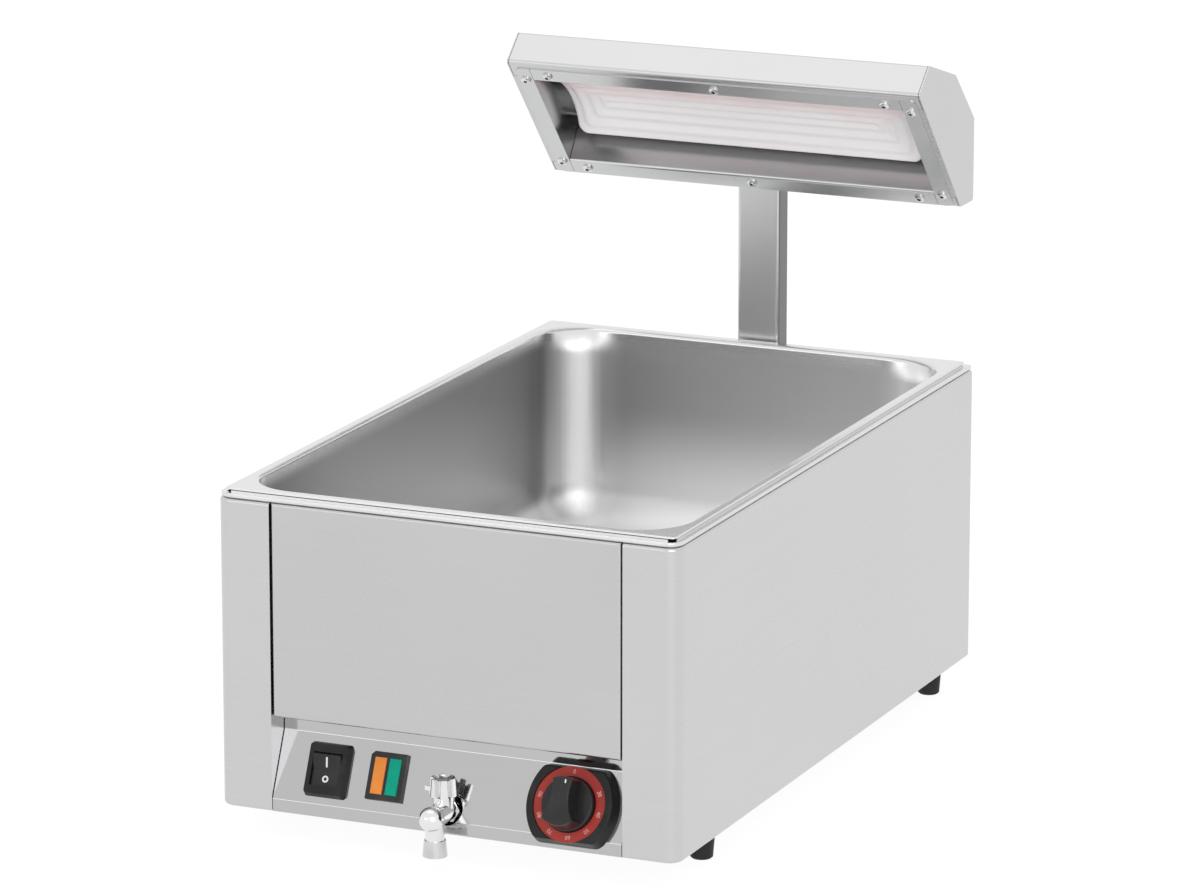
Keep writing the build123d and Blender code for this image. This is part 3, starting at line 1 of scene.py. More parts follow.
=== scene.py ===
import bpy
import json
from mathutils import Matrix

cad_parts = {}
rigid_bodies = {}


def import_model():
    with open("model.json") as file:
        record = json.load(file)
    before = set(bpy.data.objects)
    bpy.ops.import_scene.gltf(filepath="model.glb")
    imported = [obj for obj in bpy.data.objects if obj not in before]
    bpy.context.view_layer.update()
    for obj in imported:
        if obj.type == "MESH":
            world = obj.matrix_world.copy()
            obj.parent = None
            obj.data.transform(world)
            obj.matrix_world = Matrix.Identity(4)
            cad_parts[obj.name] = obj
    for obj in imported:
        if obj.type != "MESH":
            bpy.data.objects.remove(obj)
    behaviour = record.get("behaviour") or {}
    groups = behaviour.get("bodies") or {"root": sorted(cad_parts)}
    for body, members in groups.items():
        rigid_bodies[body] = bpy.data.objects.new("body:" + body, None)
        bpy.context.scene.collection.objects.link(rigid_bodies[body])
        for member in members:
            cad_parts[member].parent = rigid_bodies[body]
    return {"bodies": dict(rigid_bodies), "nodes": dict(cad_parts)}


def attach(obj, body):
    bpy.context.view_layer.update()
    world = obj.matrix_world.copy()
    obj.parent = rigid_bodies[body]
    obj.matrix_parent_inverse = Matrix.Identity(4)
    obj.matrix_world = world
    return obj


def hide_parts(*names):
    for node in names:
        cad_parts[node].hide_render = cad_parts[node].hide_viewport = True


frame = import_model()

"""Fry warmer: finishes, small fittings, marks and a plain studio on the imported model.

Sizes are in millimetres, in the model's frame: X across the front, Y from front to back, Z up from
the floor. They become metres where a mesh, lamp or camera is made. Finishes work in metres.
"""

import json
import logging
import math
from dataclasses import dataclass
from enum import Enum
from typing import Sequence

import bmesh
import bpy
import numpy as np
from mathutils import Vector

MM = 0.001
NOISE_MEAN = 0.5
SMOOTH_DETAIL, RICH_DETAIL = 1.0, 3.0
# Points round a turned shape, round the end of a bar and round the corner of a plate.
SIDES, BAR_STEPS, CORNER_STEPS = 48, 10, 16
MERGE_REACH = 1e-7
BLACK = (0.0, 0.0, 0.0)
WHITE = (1.0, 1.0, 1.0)
# The Mix node's sockets for colours go by number, because its other sockets share their names.
MIX_IN, MIX_OUT = (0, 6, 7), 2
MIX = {"data_type": "RGBA", "clamp_factor": True}
SEEN_RAYS = ("Is Camera Ray", "Is Glossy Ray", "Is Transmission Ray")

Triple = tuple[float, float, float]
Colour = Triple
Span = tuple[float, float]
Row = tuple[float, ...]
Number = int | float
Key = int | str
Inputs = dict[Key, object]
Socket = bpy.types.NodeSocket
Outputs = bpy.types.NodeOutputs

log = logging.getLogger("fry_warmer")


class Value:
    """A number that changes over a surface; an expression on it adds its Math nodes."""

    def __init__(self, graph: "Graph", socket: Socket) -> None:
        """Wraps one output socket of the graph."""
        self.graph = graph
        self.socket = socket

    def _joined(self, operation: str, first: "Operand", second: "Operand") -> "Value":
        """Adds one Math node on two numbers or values."""
        return self.graph.value("ShaderNodeMath", {0: first, 1: second}, operation=operation)

    def __add__(self, other: "Operand") -> "Value":
        """This value plus another."""
        return self._joined("ADD", self, other)

    def __radd__(self, other: "Operand") -> "Value":
        """A number plus this value."""
        return self._joined("ADD", other, self)

    def __sub__(self, other: "Operand") -> "Value":
        """This value less another."""
        return self._joined("SUBTRACT", self, other)

    def __rsub__(self, other: "Operand") -> "Value":
        """A number less this value."""
        return self._joined("SUBTRACT", other, self)

    def __mul__(self, other: "Operand") -> "Value":
        """This value times another."""
        return self._joined("MULTIPLY", self, other)

    def __rmul__(self, other: "Operand") -> "Value":
        """A number times this value."""
        return self._joined("MULTIPLY", other, self)

    def swing(self, reach: Number) -> "Value":
        """A noise's swing about its mean, times a reach."""
        return (self - NOISE_MEAN) * reach

    def above(self, low: Number, high: Number) -> "Value":
        """A smooth step from 0 at low to 1 at high."""
        sockets = {"Value": self, "From Min": low, "From Max": high}
        return self.graph.value("ShaderNodeMapRange", sockets, interpolation_type="SMOOTHSTEP")


Operand = Value | Number


class Graph:
    """The nodes of one material or of the world."""

    def __init__(self, owner: bpy.types.Material | bpy.types.World) -> None:
        """Gives a material or the world an empty node tree.

        Args:
            owner: the material or the world.
        """
        owner.use_nodes = True
        self.tree = owner.node_tree
        self.tree.nodes.clear()

    def node(self, kind: str, sockets: Inputs | None = None, **settings: object) -> Outputs:
        """Adds one node.

        Args:
            kind: the node's type.
            sockets: its inputs by name or number: a plain value, a Value, an output socket or None.
            settings: its properties, set first.

        Returns:
            The new node's outputs.
        """
        made = self.tree.nodes.new(kind)
        for name, setting in settings.items():
            setattr(made, name, setting)
        for name, given in (sockets or {}).items():
            if isinstance(given, Value):
                given = given.socket
            if isinstance(given, Socket):
                self.tree.links.new(given, made.inputs[name])
            elif given is not None:
                made.inputs[name].default_value = given
        return made.outputs

    def value(self, kind: str, sockets: Inputs, output: Key = 0, **settings: object) -> Value:
        """Adds one node and wraps one of its outputs."""
        return Value(self, self.node(kind, sockets, **settings)[output])

    def vector(self, operation: str, first: object, second: object) -> Outputs:
        """Adds one Vector Math node on two vectors or their sockets."""
        return self.node("ShaderNodeVectorMath", {0: first, 1: second}, operation=operation)

    def place(self, kind: str = "Object") -> Socket:
        """The object's own coordinates, or its own normal."""
        return self.node("ShaderNodeTexCoord")[kind]

    def noise(self, scale: float | Triple | np.ndarray, detail: float = 2.0) -> Value:
        """Noise on Object coordinates.

        Args:
            scale: cells per metre, one number or one for each axis.
            detail: octaves of finer noise.

        Returns:
            A value around the noise's mean.
        """
        cells = tuple(np.broadcast_to(scale, 3))
        spread = self.node("ShaderNodeMapping", {"Vector": self.place(), "Scale": cells})[0]
        sockets = {"Vector": spread, "Scale": 1.0, "Detail": detail}
        return self.value("ShaderNodeTexNoise", sockets, "Fac")

    def along(self, direction: Triple, origin: Triple = (0.0, 0.0, 0.0)) -> Value:
        """Distance along a unit direction from an origin, in metres, on Object coordinates."""
        offset = self.vector("SUBTRACT", self.place(), origin)[0]
        return Value(self, self.vector("DOT_PRODUCT", offset, direction)["Value"])

    def facing(self, direction: Triple) -> Value:
        """How far a surface faces along a unit direction or against it, from 0 to 1."""
        part = self.vector("DOT_PRODUCT", self.place("Normal"), direction)["Value"]
        return self.value("ShaderNodeMath", {0: part}, operation="ABSOLUTE")

    def between(self, factor: Value, first: object, second: object) -> Socket:
        """Mixes two colours or colour sockets; a factor of 0 gives the first and 1 the second."""
        ends = [(*end, 1.0) if isinstance(end, tuple) else end for end in (first, second)]
        return self.node("ShaderNodeMix", dict(zip(MIX_IN, (factor, *ends))), **MIX)[MIX_OUT]

    def bump(self, height: Value, distance: float, normal: Socket | None = None) -> Socket:
        """A normal, or the surface's own, bumped by a height whose 1 stands out by a distance."""
        sockets = {"Height": height, "Distance": distance, "Normal": normal}
        return self.node("ShaderNodeBump", sockets)[0]

    def leaning(self, rise: Value) -> Socket:
        """The surface's own normal, leant towards the object's +Z.

        Args:
            rise: how much of +Z is added to the normal.

        Returns:
            The normal's socket, in the world's axes.
        """
        up = self.node("ShaderNodeCombineXYZ", {"Z": rise})[0]
        leant = {"Vector": self.vector("ADD", self.place("Normal"), up)[0]}
        settings = {"vector_type": "NORMAL", "convert_from": "OBJECT", "convert_to": "WORLD"}
        return self.node("ShaderNodeVectorTransform", leant, **settings)[0]


@dataclass(frozen=True)
class Seat:
    """A face of the object: a point on it and the directions across it and up it."""

    origin: Triple
    across: Triple
    up: Triple

    def put(self, points: np.ndarray) -> np.ndarray:
        """Points of the seat's own frame: its origin plus x across, y up and z out of the face."""
        axes = np.array([self.across, self.up, np.cross(self.across, self.up)])
        return self.origin + points @ axes


HOOD_MOUTH = Seat((0.0, 261.0, 347.5), (1.0, 0.0, 0.0), (0.0, -0.66653, 0.74548))


def behind(y: float) -> Seat:
    """The upright plane at a depth, seen from the back."""
    return Seat((0.0, y, 0.0), (-1.0, 0.0, 0.0), (0.0, 0.0, 1.0))


class Axis(Enum):
    """The object's own axes."""

    X = (1.0, 0.0, 0.0)
    Y = (0.0, 1.0, 0.0)
    Z = (0.0, 0.0, 1.0)


class Grain(Enum):
    """The way a sheet was brushed, as how long its grain is along each axis."""

    ACROSS = (1.0, 0.0, 0.0)
    BACKWARD = (0.0, 1.0, 0.0)
    UPRIGHT = (0.0, 0.0, 1.0)
    AROUND = (1.0, 1.0, 0.0)


@dataclass(frozen=True)
class Step:
    """A smooth step on the square of a coordinate, so that it rises on both sides of the middle."""

    axis: Axis
    low: float
    high: float

    def up(self, graph: Graph) -> Value:
        """0 nearer the middle than low and 1 beyond high."""
        place = graph.along(self.axis.value)
        return (place * place).above(self.low**2, self.high**2)

    def down(self, graph: Graph) -> Value:
        """1 nearer the middle than low and 0 beyond high."""
        return 1.0 - self.up(graph)


@dataclass(frozen=True)
class Finish:
    """What a surface is made of; each kind has its own shader inputs."""

    def inputs(self, graph: Graph) -> Inputs:
        """The shader's inputs, with their nodes in the graph."""
        raise NotImplementedError


@dataclass(frozen=True)
class Steel(Finish):
    """Brushed stainless sheet: fine grain, soft clouds of handling, and not dead flat."""

    colour: Colour
    roughness: float
    grain: Grain
    streak: float = 0.30
    cloud: float = 0.30
    wave: float = 0.00015
    # Painted shade on faces towards X: the share of the colour they keep.
    painted_flank_share: float = 1.0
    fine_cells: float = 2600.0
    coarse_cells: float = 300.0
    fine_length: float = 9.0
    coarse_length: float = 3.6
    cloud_cells: float = 7.0
    wave_cells: float = 5.0
    tones: Span = (0.88, 1.12)
    even: float = 0.8
    ridges: Span = (0.05, 0.03)
    relief: float = 0.00001
    painted_flank_turn: Span = (0.6, 0.9)

    def inputs(self, graph: Graph) -> Inputs:
        """Grain is noise drawn out along the brushing, at two widths, under clouds of slow noise.

        Args:
            graph: the material's nodes.

        Returns:
            The shader's inputs.
        """
        long = np.array(self.grain.value)
        fine = graph.noise(self.fine_cells * (1 - long) + self.fine_length * long)
        coarse = graph.noise(self.coarse_cells * (1 - long) + self.coarse_length * long)
        cloud = graph.noise(self.cloud_cells)
        lines = 0.5 * (fine + coarse)
        tone = lines.swing(self.streak) + cloud.swing(self.cloud) + 0.5
        ends = [tuple(min(1.0, share * part) for part in self.colour) for share in self.tones]
        height = self.ridges[0] * fine + self.ridges[1] * coarse
        grained = graph.bump(height, self.relief, self.formed(graph))
        uneven = self.even + (lines + cloud) * (1.0 - self.even)
        return {
            "Base Color": self.painted_light_and_shade(graph, graph.between(tone, *ends)),
            "Metallic": 1.0,
            "Roughness": self.roughness * uneven + self.dulled(graph),
            "Normal": graph.bump(graph.noise(self.wave_cells, SMOOTH_DETAIL), self.wave, grained),
        }

    def painted_light_and_shade(self, graph: Graph, sheet: Socket) -> Socket:
        """Painted shade: faces towards X keep only a share of the colour, darker on a tube's sides.
        """
        facing = graph.facing(Axis.X.value).above(*self.painted_flank_turn)
        return graph.between(facing * (1.0 - self.painted_flank_share), sheet, BLACK)

    def dulled(self, graph: Graph) -> Operand:
        """Roughness added where the sheet was worked."""
        return 0.0

    def formed(self, graph: Graph) -> Socket | None:
        """The normal where the sheet was formed, or None for a plain sheet."""
        return None


@dataclass(frozen=True)
class DrawnSteel(Steel):
    """A deep drawn basin: satin walls with painted shade and highlights, dull where stretched."""

    rim: Step = Step(Axis.Z, 0.222, 0.234)
    # Where painted shade darkens the groove under the rim: past the lip, between its foot and top.
    lip: Step = Step(Axis.Y, 0.2612, 0.2616)
    groove_top: Step = Step(Axis.Z, 0.23435, 0.2352)
    groove_foot: Step = Step(Axis.Z, 0.23415, 0.23435)
    mouth_x: Step = Step(Axis.X, 0.1565, 0.1580)
    mouth_y: Step = Step(Axis.Y, 0.2565, 0.2580)
    roll: Step = Step(Axis.Z, 0.214, 0.229)
    corner_x: Step = Step(Axis.X, 0.093, 0.140)
    corner_y: Step = Step(Axis.Y, 0.230, 0.252)
    side: Step = Step(Axis.X, 0.1490, 0.1526)
    far: Step = Step(Axis.Y, 0.060, 0.215)
    bend: Step = Step(Axis.Z, 0.104, 0.182)
    aside: Step = Step(Axis.X, 0.060, 0.148)
    # Cells and swing of the upright streaks in the corners' painted highlight.
    highlight_streak_cells: Triple = (110.0, 110.0, 1.5)
    highlight_streak_swing: float = 1.3
    lean: float = 0.6
    # How far painted shade darkens the walls, the side walls, their far ends and the groove.
    painted_wall_shade: float = 0.24
    painted_side_shade: float = 0.17
    painted_end_shade: float = 0.22
    painted_groove_shade: float = 0.75
    # How far painted highlight whitens the corners and the floor.
    painted_corner_highlight: float = 1.1
    painted_floor_highlight: float = 0.95
    wall_dull: float = 0.10
    corner_dull: float = 0.10
    floor_dull: float = 0.20

    def corners(self, graph: Graph) -> Value:
        """1 in the basin's upright corners, where the steps of X and Y meet."""
        return self.corner_x.up(graph) * self.corner_y.up(graph)

    def floor(self, graph: Graph) -> Value:
        """1 on the floor, falling to 0 up the bend and towards the side walls."""
        return self.aside.down(graph) * self.bend.down(graph)

    def painted_light_and_shade(self, graph: Graph, sheet: Socket) -> Socket:
        """Painted shade darkens the walls under the rim, most at the sides' far ends; painted
        highlight makes the corners and the floor paler.

        Upright streaks run through the corners' painted highlight, and painted shade darkens
        the groove under the rim at the lip.

        Args:
            graph: the material's nodes.
            sheet: the plain sheet's colour.

        Returns:
            The colour to show.
        """
        walls = self.rim.down(graph)
        groove = self.groove_foot.up(graph) * self.groove_top.down(graph) * self.lip.up(graph)
        sides = self.side.up(graph) * (self.far.up(graph) * self.painted_end_shade + self.painted_side_shade)
        # Painted shade: walls, side walls and their far ends, and the groove at the lip, mixed
        # towards black.
        dark = walls * (sides + self.painted_wall_shade) + groove * self.painted_groove_shade
        # Painted highlight: streaked upright in the corners, and on the floor, mixed towards white.
        lines = graph.noise(self.highlight_streak_cells).swing(self.highlight_streak_swing) + 1.0
        corners = self.corners(graph) * walls * lines * self.painted_corner_highlight
        pale = corners + self.floor(graph) * self.painted_floor_highlight
        return graph.between(pale, graph.between(dark, sheet, BLACK), WHITE)

    def dulled(self, graph: Graph) -> Value:
        """Walls are duller than the rim, and the corners and the floor duller again."""
        walls = self.rim.down(graph) * (self.corners(graph) * self.corner_dull + self.wall_dull)
        return walls + self.floor(graph) * self.floor_dull

    def formed(self, graph: Graph) -> Socket:
        """In the corners the wall leans out towards the mouth, where the roll is widest."""
        inside = self.mouth_x.down(graph) * self.mouth_y.down(graph)
        return graph.leaning(self.corners(graph) * inside * self.roll.up(graph) * self.lean)


@dataclass(frozen=True)
class Cast(Finish):
    """A cast or turned metal, polished or left dull, with a faint orange peel."""

    colour: Colour
    shade: Colour
    roughness: float
    cloud_cells: float = 60.0
    cloud_step: Span = (0.35, 0.70)
    polished: float = 0.4
    dulling: float = 0.16
    peel_cells: float = 900.0
    peel: float = 0.00002

    def inputs(self, graph: Graph) -> Inputs:
        """Slow noise mixes the two tones and dulls the polish; fine noise is the peel.

        Args:
            graph: the material's nodes.

        Returns:
            The shader's inputs.
        """
        cloud = graph.noise(self.cloud_cells, RICH_DETAIL)
        return {
            "Base Color": graph.between(cloud.above(*self.cloud_step), self.colour, self.shade),
            "Metallic": 1.0,
            "Roughness": self.roughness + (cloud - self.polished) * self.dulling,
            "Normal": graph.bump(graph.noise(self.peel_cells), self.peel),
        }


@dataclass(frozen=True)
class Moulding(Finish):
    """Moulded plastic or rubber with its mould's grain."""

    colour: Colour
    rubbed: Colour
    roughness: float
    grain_cells: float = 1500.0
    grain: float = 0.00006
    coat: float = 0.0
    sheen: float = 0.3
    coat_roughness: float = 0.12
    grain_dull: float = 0.2
    rub_cells: float = 45.0
    rub_step: Span = (0.42, 0.72)
    rub_polish: float = 0.08

    def inputs(self, graph: Graph) -> Inputs:
        """Fine noise is the grain; slow noise rubs some of it smoother and paler.

        Args:
            graph: the material's nodes.

        Returns:
            The shader's inputs.
        """
        grain = graph.noise(self.grain_cells)
        rub = graph.noise(self.rub_cells, RICH_DETAIL).above(*self.rub_step)
        return {
            "Base Color": graph.between(rub, self.colour, self.rubbed),
            "Roughness": self.roughness + grain.swing(self.grain_dull) - rub * self.rub_polish,
            "Specular IOR Level": self.sheen,
            "Coat Weight": self.coat,
            "Coat Roughness": self.coat_roughness,
            "Normal": graph.bump(grain, self.grain),
        }


@dataclass(frozen=True)
class GlazedCeramic(Finish):
    """The heating element's glaze: near white, flushed pink towards the upper edge of its seat."""

    pale: Colour
    flushed: Colour
    seat: Seat
    flush: Span
    flush_wander: float = 0.03
    roughness: float = 0.38
    mottle: float = 0.2
    mottle_cells: Triple = (22.0, 40.0, 40.0)
    coat: float = 0.2
    coat_roughness: float = 0.2
    pit_cells: float = 1400.0
    pits: float = 0.00003

    def inputs(self, graph: Graph) -> Inputs:
        """The flush is a smooth step up the seat, broken by slow noise; fine noise pits the glaze.

        Args:
            graph: the material's nodes.

        Returns:
            The shader's inputs.
        """
        slow = graph.noise(self.mottle_cells, RICH_DETAIL)
        rise = graph.along(self.seat.up, tuple(MM * part for part in self.seat.origin))
        flush = (rise + slow.swing(self.flush_wander)).above(*self.flush)
        return {
            "Base Color": graph.between(flush, self.pale, self.flushed),
            "Roughness": self.roughness + slow.swing(self.mottle),
            "Coat Weight": self.coat,
            "Coat Roughness": self.coat_roughness,
            "Normal": graph.bump(graph.noise(self.pit_cells), self.pits),
        }


@dataclass(frozen=True)
class Lens(Finish):
    """A lamp's coloured lens with a painted glow in its own colour, and upright prisms inside it.
    """

    colour: Colour
    deep: Colour
    # Strength of the painted glow: the lens shines though its lamp is not lit.
    glow: float
    prism_cells: float = 190.0
    prism: float = 0.45
    cloud_cells: float = 120.0
    cloud: float = 0.9
    depth: float = 0.2
    roughness: float = 0.22
    mottle: float = 0.16
    sheen: float = 0.12

    def inputs(self, graph: Graph) -> Inputs:
        """Upright waves across the lens mix the two tones, as the prisms behind it do.

        Args:
            graph: the material's nodes.

        Returns:
            The shader's inputs.
        """
        sockets = {"Vector": graph.place(), "Scale": self.prism_cells, "Distortion": 0.0}
        settings = {"wave_type": "BANDS", "bands_direction": "X", "wave_profile": "SIN"}
        prisms = graph.value("ShaderNodeTexWave", sockets, "Fac", **settings)
        cloud = graph.noise(self.cloud_cells)
        tone = prisms * self.prism + cloud.swing(self.cloud) + self.depth
        shown = graph.between(tone, self.colour, self.deep)
        return {
            "Base Color": shown,
            "Roughness": self.roughness + cloud.swing(self.mottle),
            "Specular IOR Level": self.sheen,
            # Painted glow in the lens's own colour.
            "Emission Color": shown,
            "Emission Strength": self.glow,
        }


class Look(Enum):
    """Every finish of the warmer, named as the piece of metal or moulding it covers.

    A member's name in small letters is its material's name, which no slot of the record has.
    """

    FRONT_SHEET = Steel((0.56, 0.56, 0.565), 0.28, Grain.ACROSS)
    SIDE_SHEET = Steel((0.60, 0.60, 0.605), 0.28, Grain.AROUND)
    HOOD_SHEET = Steel((0.60, 0.60, 0.605), 0.28, Grain.ACROSS)
    HOOD_END_SHEET = Steel((0.58, 0.58, 0.585), 0.28, Grain.AROUND)
    # The post's narrow sides keep a quarter of the colour, as painted shade.
    POST_SHEET = Steel((0.63, 0.63, 0.635), 0.30, Grain.UPRIGHT, painted_flank_share=0.25)
    CONTROL_SHEET = Steel((0.50, 0.50, 0.505), 0.10, Grain.ACROSS, 0.18)
    BASIN_SHEET = DrawnSteel((0.74, 0.74, 0.745), 0.24, Grain.UPRIGHT, 0.12, 0.36, 0.0004)
    REFLECTOR_SHEET = Steel((0.58, 0.585, 0.59), 0.20, Grain.ACROSS)
    BASE_SHEET = Steel((0.50, 0.50, 0.50), 0.40, Grain.BACKWARD)
    FASTENER = Cast((0.74, 0.74, 0.74), (0.62, 0.62, 0.63), 0.16)
    # Painted shade: the near-black disc at the bottom of a screw's socket.
    SOCKET = Cast((0.05, 0.05, 0.05), (0.03, 0.03, 0.03), 0.45)
    ZINC = Cast((0.55, 0.55, 0.56), (0.42, 0.42, 0.44), 0.36)
    CHROME = Cast((0.80, 0.80, 0.80), (0.72, 0.72, 0.73), 0.12)
    TURNED_NOZZLE = Cast((0.66, 0.66, 0.66), (0.56, 0.56, 0.57), 0.26)
    TURNED_BRASS = Cast((0.72, 0.52, 0.26), (0.58, 0.40, 0.19), 0.28)
    HEATER_SHEATH = Cast((0.30, 0.28, 0.26), (0.20, 0.19, 0.19), 0.42)
    GLAZE = GlazedCeramic((0.93, 0.90, 0.905), (0.86, 0.665, 0.675), HOOD_MOUTH, (0.060, 0.098))
    BARE_CERAMIC = Moulding((0.80, 0.78, 0.72), (0.70, 0.68, 0.62), 0.62, 800.0, 0.0001)
    SATIN_BLACK = Moulding((0.014, 0.014, 0.015), (0.022, 0.022, 0.023), 0.42, sheen=0.2)
    GLOSS_BLACK = Moulding((0.012, 0.012, 0.013), (0.020, 0.020, 0.021), 0.30, 1500.0, 0.00002, 0.1)
    LAMP_BLACK = Moulding((0.020, 0.020, 0.021), (0.032, 0.032, 0.033), 0.46)
    RED_RING = Moulding((0.34, 0.025, 0.018), (0.40, 0.034, 0.026), 0.40, 1800.0, 0.00002)
    PALE_PRINT = Moulding((0.80, 0.79, 0.77), (0.72, 0.70, 0.68), 0.50, 2000.0, 0.00001)
    WORN_PRINT = Moulding((0.66, 0.46, 0.42), (0.58, 0.32, 0.29), 0.50, 2000.0, 0.00001)
    AMBER_LENS_CLEAR = Lens((0.74, 0.26, 0.055), (0.60, 0.17, 0.028), 0.13)
    GREEN_LENS_CLEAR = Lens((0.002, 0.33, 0.22), (0.001, 0.25, 0.16), 0.09)
    FOOT_RUBBER_MOULDED = Moulding(
        (0.016, 0.016, 0.016), (0.034, 0.034, 0.034), 0.62, 1100.0, 0.0001
    )
    SEAL_RUBBER_MOULDED = Moulding((0.74, 0.74, 0.73), (0.66, 0.66, 0.65), 0.66, 1100.0, 0.0001)

    def material(self) -> bpy.types.Material:
        """Makes the finish's material, once.

        Returns:
            The material.
        """
        label = self.name.lower()
        made = bpy.data.materials.get(label)
        if made is None:
            made = bpy.data.materials.new(label)
            graph = Graph(made)
            shader = graph.node("ShaderNodeBsdfPrincipled", self.value.inputs(graph))
            graph.node("ShaderNodeOutputMaterial", {"Surface": shader[0]})
        return made


@dataclass(frozen=True)
class Patch:
    """Points, in millimetres, and the faces on them."""

    points: np.ndarray
    faces: np.ndarray

    def copies(self, places: np.ndarray) -> "Patch":
        """The patch repeated at each place.

        Args:
            places: one offset a row.

        Returns:
            One patch with all the copies, each point being an offset plus a point of the first.
        """
        points = (places[:, None] + self.points).reshape(-1, 3)
        steps = np.arange(len(places))[:, None, None] * len(self.points)
        return Patch(points, (steps + self.faces).reshape(-1, self.faces.shape[1]))

    def moved(self, x: float, y: float, z: float = 0.0) -> "Patch":
        """The patch moved by an offset in its own frame."""
        return Patch(self.points + [x, y, z], self.faces)

    def on(self, seat: Seat) -> "Patch":
        """The patch laid on a seat."""
        return Patch(seat.put(self.points), self.faces)


def grid(points: np.ndarray) -> Patch:
    """A sheet of quads over a grid of points.

    Args:
        points: rows by columns by 3.

    Returns:
        The sheet, whose face at row r and column c joins that point to its next ones.
    """
    rows, columns = points.shape[:2]
    number = np.arange(rows * columns).reshape(rows, columns)
    corners = (number[:-1, :-1], number[:-1, 1:], number[1:, 1:], number[1:, :-1])
    return Patch(points.reshape(-1, 3), np.stack(corners, -1).reshape(-1, 4))


def lofted(outlines: np.ndarray, heights: Sequence[float]) -> Patch:
    """A sheet through outlines, rings by points by 2, each closed at its height."""
    closed = np.concatenate([outlines, outlines[:, :1]], 1)
    return grid(np.insert(closed, 2, np.array(heights)[:, None], -1))


def ringed(radii: np.ndarray, heights: Sequence[float]) -> Patch:
    """A sheet through rings, a row of radii and a height each, as x = r cos t and y = r sin t."""
    turn = np.arange(radii.shape[1]) * 2.0 * np.pi / radii.shape[1]
    return lofted(np.stack([radii * np.cos(turn), radii * np.sin(turn)], -1), heights)


def turned(profile: Sequence[Span]) -> Patch:
    """A turned shape: rings of one radius each, from a profile of radius and height."""
    radii, heights = np.array(profile).T
    return ringed(np.repeat(radii[:, None], SIDES, 1), heights)


def hexagon(flats: float) -> np.ndarray:
    """Radius of a hexagon round its sides: half the flats over the cosine from the nearest flat."""
    turn = np.arange(SIDES) * 2.0 * np.pi / SIDES
    return flats / 2.0 / np.cos((turn + np.pi / 6.0) % (np.pi / 3.0) - np.pi / 6.0)


def rounded_bar(half_width: float, half_length: float) -> np.ndarray:
    """Outline of a slot: two half circles of the half width, joined by straight sides.

    Args:
        half_width: half of its width.
        half_length: half of its length, rounds included.

    Returns:
        The outline's points, one a row.
    """
    turn = np.linspace(0.0, np.pi, BAR_STEPS)
    reach = half_length - half_width
    top = np.stack([half_width * np.cos(turn), reach + half_width * np.sin(turn)], -1)
    return np.concatenate([top, -top])


def rounded_plate(half_x: float, half_y: float, corner: float, steps: int) -> np.ndarray:
    """Outline of a rounded rectangle, the same above its middle line as below it.

    Args:
        half_x: half of its width.
        half_y: half of its height.
        corner: radius of its corners.
        steps: points along each of its two halves.

    Returns:
        The outline's points, evenly spaced, one a row.
    """
    turn = np.linspace(0.0, np.pi / 2.0, CORNER_STEPS)
    arc = corner * np.stack([np.cos(turn), np.sin(turn)], -1) + [half_x - corner, half_y - corner]
    upper = np.concatenate([[[half_x, 0.0]], arc, arc[::-1] * [-1.0, 1.0], [[-half_x, 0.0]]])
    gone = np.concatenate([[0.0], np.cumsum(np.linalg.norm(np.diff(upper, axis=0), axis=1))])
    even = np.linspace(0.0, gone[-1], steps)
    half = np.stack([np.interp(even, gone, part) for part in upper.T], -1)
    return np.concatenate([half, half[-2:0:-1] * [1.0, -1.0]])


def tablet(outline: np.ndarray, low: float, high: float) -> Patch:
    """A flat closed slab on an outline between two heights, its ends drawn in to their middle."""
    middle = outline.mean(0) + 0.0 * outline
    return lofted(np.array([middle, outline, outline, middle]), [low, low, high, high])


def spun(degrees: float) -> np.ndarray:
    """The matrix that turns rows of x and y about the origin, from x towards y."""
    turn = math.radians(degrees)
    return np.array([[math.cos(turn), math.sin(turn)], [-math.sin(turn), math.cos(turn)]])


def mirrored(x: float, ys: Sequence[float], z: float = 0.0) -> list[Triple]:
    """Places at x to the left and to the right of the middle, at each y."""
    return [(side * x, y, z) for side in (-1, 1) for y in ys]


def linked(name: str, data: bpy.types.ID) -> bpy.types.Object:
    """A new object in the scene.

    Args:
        name: the object's name.
        data: its mesh, lettering, lamp or camera.

    Returns:
        The object.
    """
    made = bpy.data.objects.new(name, data)
    bpy.context.scene.collection.objects.link(made)
    return made


def lettered(text: str, height: float, thickness: float) -> Patch:
    """Plain lettering, centred on its own middle.

    Args:
        text: what it reads.
        height: height of its figures.
        thickness: how thick it stands.

    Returns:
        The lettering, flat on its face.
    """
    curve = bpy.data.curves.new("lettering", "FONT")
    curve.body = text
    curve.extrude = 0.5
    holder = linked("lettering", curve)
    bpy.context.view_layer.update()
    solid = holder.evaluated_get(bpy.context.evaluated_depsgraph_get())
    mesh = bpy.data.meshes.new_from_object(solid)
    mesh.calc_loop_triangles()
    points = np.array([vertex.co[:] for vertex in mesh.vertices])
    faces = np.array([face.vertices[:] for face in mesh.loop_triangles])
    low, high = points.min(0), points.max(0)
    points = (points - (low + high) / 2.0) * [1.0, 1.0, thickness]
    points[:, :2] *= height / (high - low)[1]
    bpy.data.objects.remove(holder)
    bpy.data.curves.remove(curve)
    bpy.data.meshes.remove(mesh)
    return Patch(points, faces)


